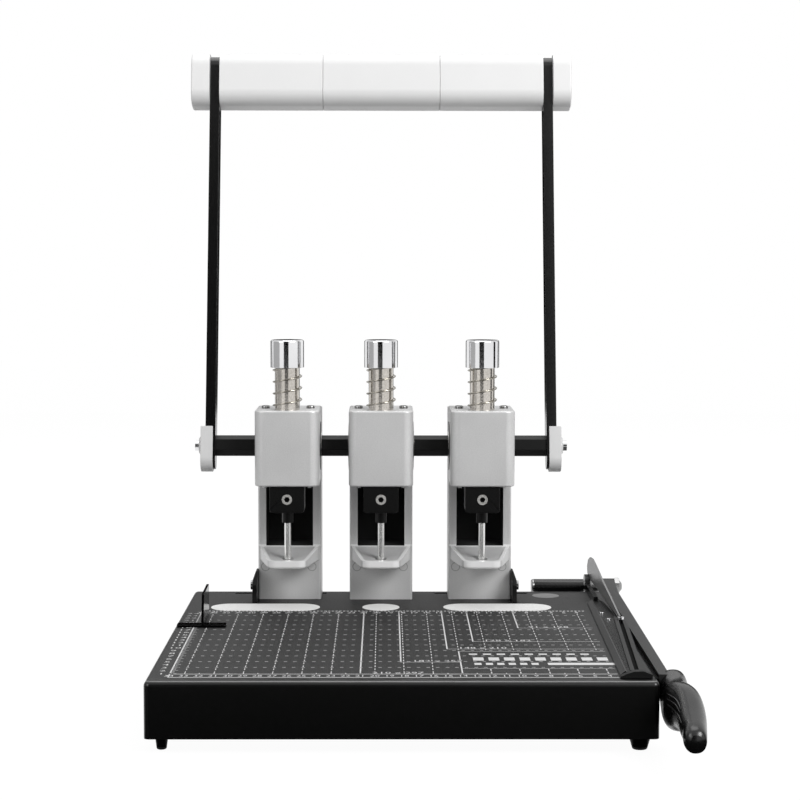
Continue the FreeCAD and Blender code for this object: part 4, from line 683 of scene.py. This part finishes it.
def add_print(tree):
    """Rulers, numerals, sheet outlines and dashed lines on the bed."""
    left, right = cm_x(LAST_CM), cm_x(PRINT_RIGHT)
    rear, front, low = REAR_LINE, *FRONT_LINES
    line = 0.7 * MM
    clear = [
        ruled_line(left, right, front, front, 1.2 * MM), ruled_line(left, right, low, low, 1.2 * MM),
        ruled_line(left, left, rear, low, 1.0 * MM),
        marks(tree, 103, 1, 3 * MM, 0, left, rear, 1.8 * MM, 2.4 * MM),          # dotted rear ruler
        marks(tree, 31, 1, 10 * MM, 0, left, rear - 2 * MM, 0.7 * MM, 3 * MM),
        marks(tree, 31, 1, 10 * MM, 0, left, front + 1.5 * MM, 0.7 * MM, 3.4 * MM),
        marks(tree, 1, 122, 0, -2 * MM, left + 1.6 * MM, rear, 2.2 * MM, 0.45 * MM),   # ticks on the left scale
        marks(tree, 1, 25, 0, -10 * MM, left + 2.2 * MM, rear, 4.4 * MM, 0.7 * MM),
    ]
    for width, depth in SHEETS:
        x, y = cm_x(width), -depth * MM
        end = cm_x(PANEL_LEFT) if 14.8 < width < 21 else right
        clear.append(ruled_line(x, x, rear, y, 1.0 * MM))
        if width < 21:
            clear.append(ruled_line(x, end, y, y, line))
        label = "%d x %d" % (round(width * 10), depth)
        clear.append(numeral(label, x + 8 * MM, y + 1.6 * MM, 5.6 * MM, 1.1, "LEFT"))
    for y in PANEL_Y:                                                           # the scale panel's frame
        clear.append(ruled_line(cm_x(PANEL_LEFT), right, y, y, line))
    clear.append(ruled_line(cm_x(PANEL_LEFT), cm_x(PANEL_LEFT), PANEL_Y[0], front, 1.0 * MM))
    clear += scale_panel(tree)
    for n in range(4, LAST_CM + 1):
        clear.append(numeral(str(n), cm_x(n), low + 2.6 * MM, 5.4 * MM, 0.9))
        clear.append(numeral(str(n), cm_x(n), rear - 10 * MM, 5.4 * MM, 0.9))
    for n in range(1, 25):
        y = rear - n * 10 * MM
        clear.append(numeral(str(25 - n), left - 6 * MM, y - 3 * MM, 4.6 * MM, 1.5))
    place_piece("bed_print", joined("bed_print", clear, FINISHES["print_ink"]), "base")

    faint = [marks(tree, 46, 11, 20 * MM / 3, -20 * MM, cm_x(33.65), rear - 20 * MM, 2.4 * MM, 1.5 * MM,
                   "faded_ink")]
    place_piece("dash_rows", joined("dash_rows", faint, FINISHES["faded_ink"]), "base")

    dashed = []
    for n in LONG_DASHED:
        dashed.append(marks(tree, 1, 24, 0, -10 * MM, cm_x(n), rear - 6 * MM, 0.6 * MM, 5.4 * MM))
    for n in SHORT_DASHED:
        dashed.append(marks(tree, 1, 16, 0, -10 * MM, cm_x(n), rear - 6 * MM, 0.6 * MM, 5.4 * MM))
        if n < 14:
            dashed.append(marks(tree, 1, 2, 0, -9 * MM, cm_x(n), -283 * MM, 0.8 * MM, 5.6 * MM))
    place_piece("dashed_lines", joined("dashed_lines", dashed, FINISHES["print_ink"]), "base")


def scale_panel(tree):
    """Plain blocks and a bar in the front right panel."""
    x0 = cm_x(13.3)
    return [marks(tree, 9, 1, 10 * MM, 0, x0 + 3 * MM, -229 * MM, 6 * MM, 4.5 * MM),
            marks(tree, 10, 1, 11 * MM, 0, x0 + 6 * MM, -246 * MM, 7.5 * MM, 11 * MM),
            marks(tree, 6, 1, 8 * MM, 0, x0 + 5 * MM, -263 * MM, 5 * MM, 7 * MM),
            marks(tree, 1, 1, 0, 0, x0 + 83 * MM, -263 * MM, 58 * MM, 7.5 * MM)]


def round_disc(name, x, y, z, radius, material):
    """A flat disc that faces up."""
    mesh = bpy.data.meshes.new(name)
    disc = bmesh.new()
    bmesh.ops.create_circle(disc, cap_ends=True, segments=48, radius=radius,
                            matrix=Matrix.Translation((x, y, z)))
    disc.to_mesh(mesh)
    disc.free()
    mesh.materials.append(material)
    return mesh


def add_label():
    """The bare round label on the bed's rear right."""
    mesh = round_disc("round_label", 138.4 * MM, 18.4 * MM, INK_Z, 11.2 * MM, FINISHES["disc_label"])
    place_piece("round_label", mesh, "base")


def cross_slot(x, y, z, length, turn):
    """The cross recess of a screw head drawn flat: two thin bars just over the metal, black as painted shade."""
    slot = bmesh.new()
    for angle in (turn, turn + math.pi / 2):
        bmesh.ops.create_grid(slot, x_segments=1, y_segments=1, size=0.5, matrix=(
            Matrix.Translation((x, y, z)) @ Matrix.Rotation(angle, 4, "Z") @ Matrix.Diagonal(
                (length, 0.2 * length, 1, 1))))
    mesh = bpy.data.meshes.new("cross_slot")
    slot.to_mesh(mesh)
    slot.free()
    return mesh


RING_STEPS = 36
PLUG_SHIFTS = (-20, 18.5)               # the filled holes, to the left and right of each head's middle
PLUG_Z = 27.5 * MM


def faint_ring(x, z, radius, width):
    """The outline of a filled hole in a tower's front."""
    ring = bmesh.new()
    loops = []
    for r in (radius - width / 2, radius + width / 2):
        angles = [2 * math.pi * k / RING_STEPS for k in range(RING_STEPS)]
        loops.append([ring.verts.new((x + r * math.cos(a), -0.05 * MM, z + r * math.sin(a))) for a in angles])
    for k in range(RING_STEPS):
        ring.faces.new((loops[0][k - 1], loops[1][k - 1], loops[1][k], loops[0][k]))
    bmesh.ops.recalc_face_normals(ring, faces=ring.faces)
    if ring.faces[0].normal.y > 0:
        bmesh.ops.reverse_faces(ring, faces=ring.faces)
    mesh = bpy.data.meshes.new("faint_ring")
    ring.to_mesh(mesh)
    ring.free()
    return mesh


def add_slots_and_plugs():
    """The crosses of the visible screws, dark as painted shade, and the outlines of the towers' filled holes."""
    for head, x in HEADS.items():
        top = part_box(head + "_screws")[1][2] + 0.03 * MM
        slots = [cross_slot(x + side * 18.25 * MM, -18 * MM, top, 3.6 * MM, 0.4 + 0.5 * side) for side in (-1, 1)]
        # painted shade: the slots take the black rubber finish
        place_piece(head + "_screw_slots", joined(head + "_screw_slots", slots, FINISHES["foot_rubber"]),
                    HEAD_BODY[head])
        plugs = [faint_ring(x + shift * MM, PLUG_Z, 3.4 * MM, 0.5 * MM) for shift in PLUG_SHIFTS]
        place_piece(head + "_plug_marks", joined(head + "_plug_marks", plugs, FINISHES["plug_line"]),
                    HEAD_BODY[head])
    studs = [cross_slot(x * MM, y * MM, z * MM, size * MM, 0.5) for x, y, z, size in (
        (174.8, -80.0, 3.93, 2.4), (177.5, -107.0, 3.93, 2.4), (184.6, -116.0, 6.93, 3.4))]
    place_piece("stud_slots", joined("stud_slots", studs, FINISHES["foot_rubber"]), "clamp")


# ------------------------------------------------------------------ room, lamps, camera
def ray_switch(nodes, links):
    """1 for rays that see the background directly, in a mirror or through glass."""
    path = nodes.new("ShaderNodeLightPath")
    first, second = nodes.new("ShaderNodeMath"), nodes.new("ShaderNodeMath")
    first.operation = second.operation = "MAXIMUM"
    links.new(path.outputs["Is Camera Ray"], first.inputs[0])
    links.new(path.outputs["Is Glossy Ray"], first.inputs[1])
    links.new(first.outputs[0], second.inputs[0])
    links.new(path.outputs["Is Transmission Ray"], second.inputs[1])
    return second.outputs[0]


def make_world():
    """White where it is seen, dimmer as a light."""
    world = bpy.data.worlds.new("studio")
    bpy.context.scene.world = world
    world.use_nodes = True
    nodes, links = world.node_tree.nodes, world.node_tree.links
    nodes.clear()
    seen, light = nodes.new("ShaderNodeBackground"), nodes.new("ShaderNodeBackground")
    mix, out = nodes.new("ShaderNodeMixShader"), nodes.new("ShaderNodeOutputWorld")
    seen.inputs["Color"].default_value = (1, 1, 1, 1)
    light.inputs["Color"].default_value = (1, 1, 1, 1)
    light.inputs["Strength"].default_value = WORLD_LIGHT
    links.new(ray_switch(nodes, links), mix.inputs["Fac"])
    links.new(light.outputs[0], mix.inputs[1])
    links.new(seen.outputs[0], mix.inputs[2])
    links.new(mix.outputs[0], out.inputs["Surface"])


def make_floor():
    """A pale floor that still takes a faint shadow."""
    material, nodes, links, shader = new_material("pale_floor")
    shader.inputs["Base Color"].default_value = (FLOOR_PALE, FLOOR_PALE, FLOOR_PALE, 1)
    shader.inputs["Roughness"].default_value = 0.9
    glow = nodes.new("ShaderNodeEmission")
    both, pick = nodes.new("ShaderNodeMixShader"), nodes.new("ShaderNodeMixShader")
    both.inputs["Fac"].default_value = FLOOR_GLOW
    glow.inputs["Strength"].default_value = FLOOR_WHITE
    links.new(shader.outputs[0], both.inputs[1])
    links.new(glow.outputs[0], both.inputs[2])
    links.new(ray_switch(nodes, links), pick.inputs["Fac"])
    links.new(shader.outputs[0], pick.inputs[1])
    links.new(both.outputs[0], pick.inputs[2])
    links.new(pick.outputs[0], nodes["Material Output"].inputs["Surface"])
    card("floor", (0, 0, FLOOR_Z), ROOM, ROOM, (0, 0, 1), material)


def card(name, centre, width, height, facing, material):
    """A flat stage card that faces the given way."""
    mesh = bpy.data.meshes.new(name)
    w, h = width / 2, height / 2
    mesh.from_pydata([(-w, -h, 0), (w, -h, 0), (w, h, 0), (-w, h, 0)], [], [(0, 1, 2, 3)])
    mesh.transform(Matrix.Translation(centre) @ Vector(facing).to_track_quat("Z", "Y").to_matrix().to_4x4())
    mesh.materials.append(material)
    piece = bpy.data.objects.new(name, mesh)
    bpy.context.scene.collection.objects.link(piece)
    return piece


def make_flags():
    """Studio cards that only the gloss of the object sees: they draw the dark streaks in plated metal."""
    for name, grey, centre, width, height, facing in FLAGS:
        material, nodes, links, _ = new_material(name)
        tone = nodes.new("ShaderNodeEmission")
        tone.inputs["Color"].default_value = (grey, grey, grey, 1)
        links.new(tone.outputs[0], nodes["Material Output"].inputs["Surface"])
        flag = card(name, centre, width, height, facing, material)
        flag.visible_camera = False
        flag.visible_diffuse = False
        flag.visible_shadow = False


def lamp(name, place, aim, size, watts):
    """A square area lamp that points at aim."""
    data = bpy.data.lights.new(name, "AREA")
    data.energy = watts
    data.size = size
    piece = bpy.data.objects.new(name, data)
    piece.matrix_world = Matrix.Translation(place) @ (
        Vector(aim) - Vector(place)).to_track_quat("-Z", "Y").to_matrix().to_4x4()
    bpy.context.scene.collection.objects.link(piece)


def make_camera():
    """The camera, from its place, pitch, yaw and roll."""
    pitch, yaw, roll = CAMERA_PITCH, CAMERA_YAW, CAMERA_ROLL
    forward = Vector((math.sin(yaw) * math.cos(pitch), math.cos(yaw) * math.cos(pitch), -math.sin(pitch)))
    level = Vector((math.cos(yaw), -math.sin(yaw), 0))
    upright = level.cross(forward)
    right = level * math.cos(roll) + upright * math.sin(roll)
    up = upright * math.cos(roll) - level * math.sin(roll)
    data = bpy.data.cameras.new("camera")
    data.lens = CAMERA_LENS
    data.sensor_width = 36.0
    data.clip_end = 50.0
    camera = bpy.data.objects.new("camera", data)
    turn = Matrix((right, up, -forward)).transposed().to_4x4()
    camera.matrix_world = Matrix.Translation(CAMERA_PLACE) @ turn
    bpy.context.scene.collection.objects.link(camera)
    bpy.context.scene.camera = camera


def make_room():
    """World, floor, cards, lamps and camera."""
    make_world()
    make_floor()
    make_flags()
    for values in LAMPS:
        lamp(*values)
    make_camera()
    bpy.context.scene.view_settings.view_transform = "Standard"


def main():
    """Builds the whole scene."""
    make_room()
    dress_nodes(shade_tree(SMOOTH_DEGREES))
    add_springs(coil_tree())
    add_handle()
    add_print(marks_tree())
    add_label()
    add_slots_and_plugs()
    bpy.context.view_layer.update()


main()
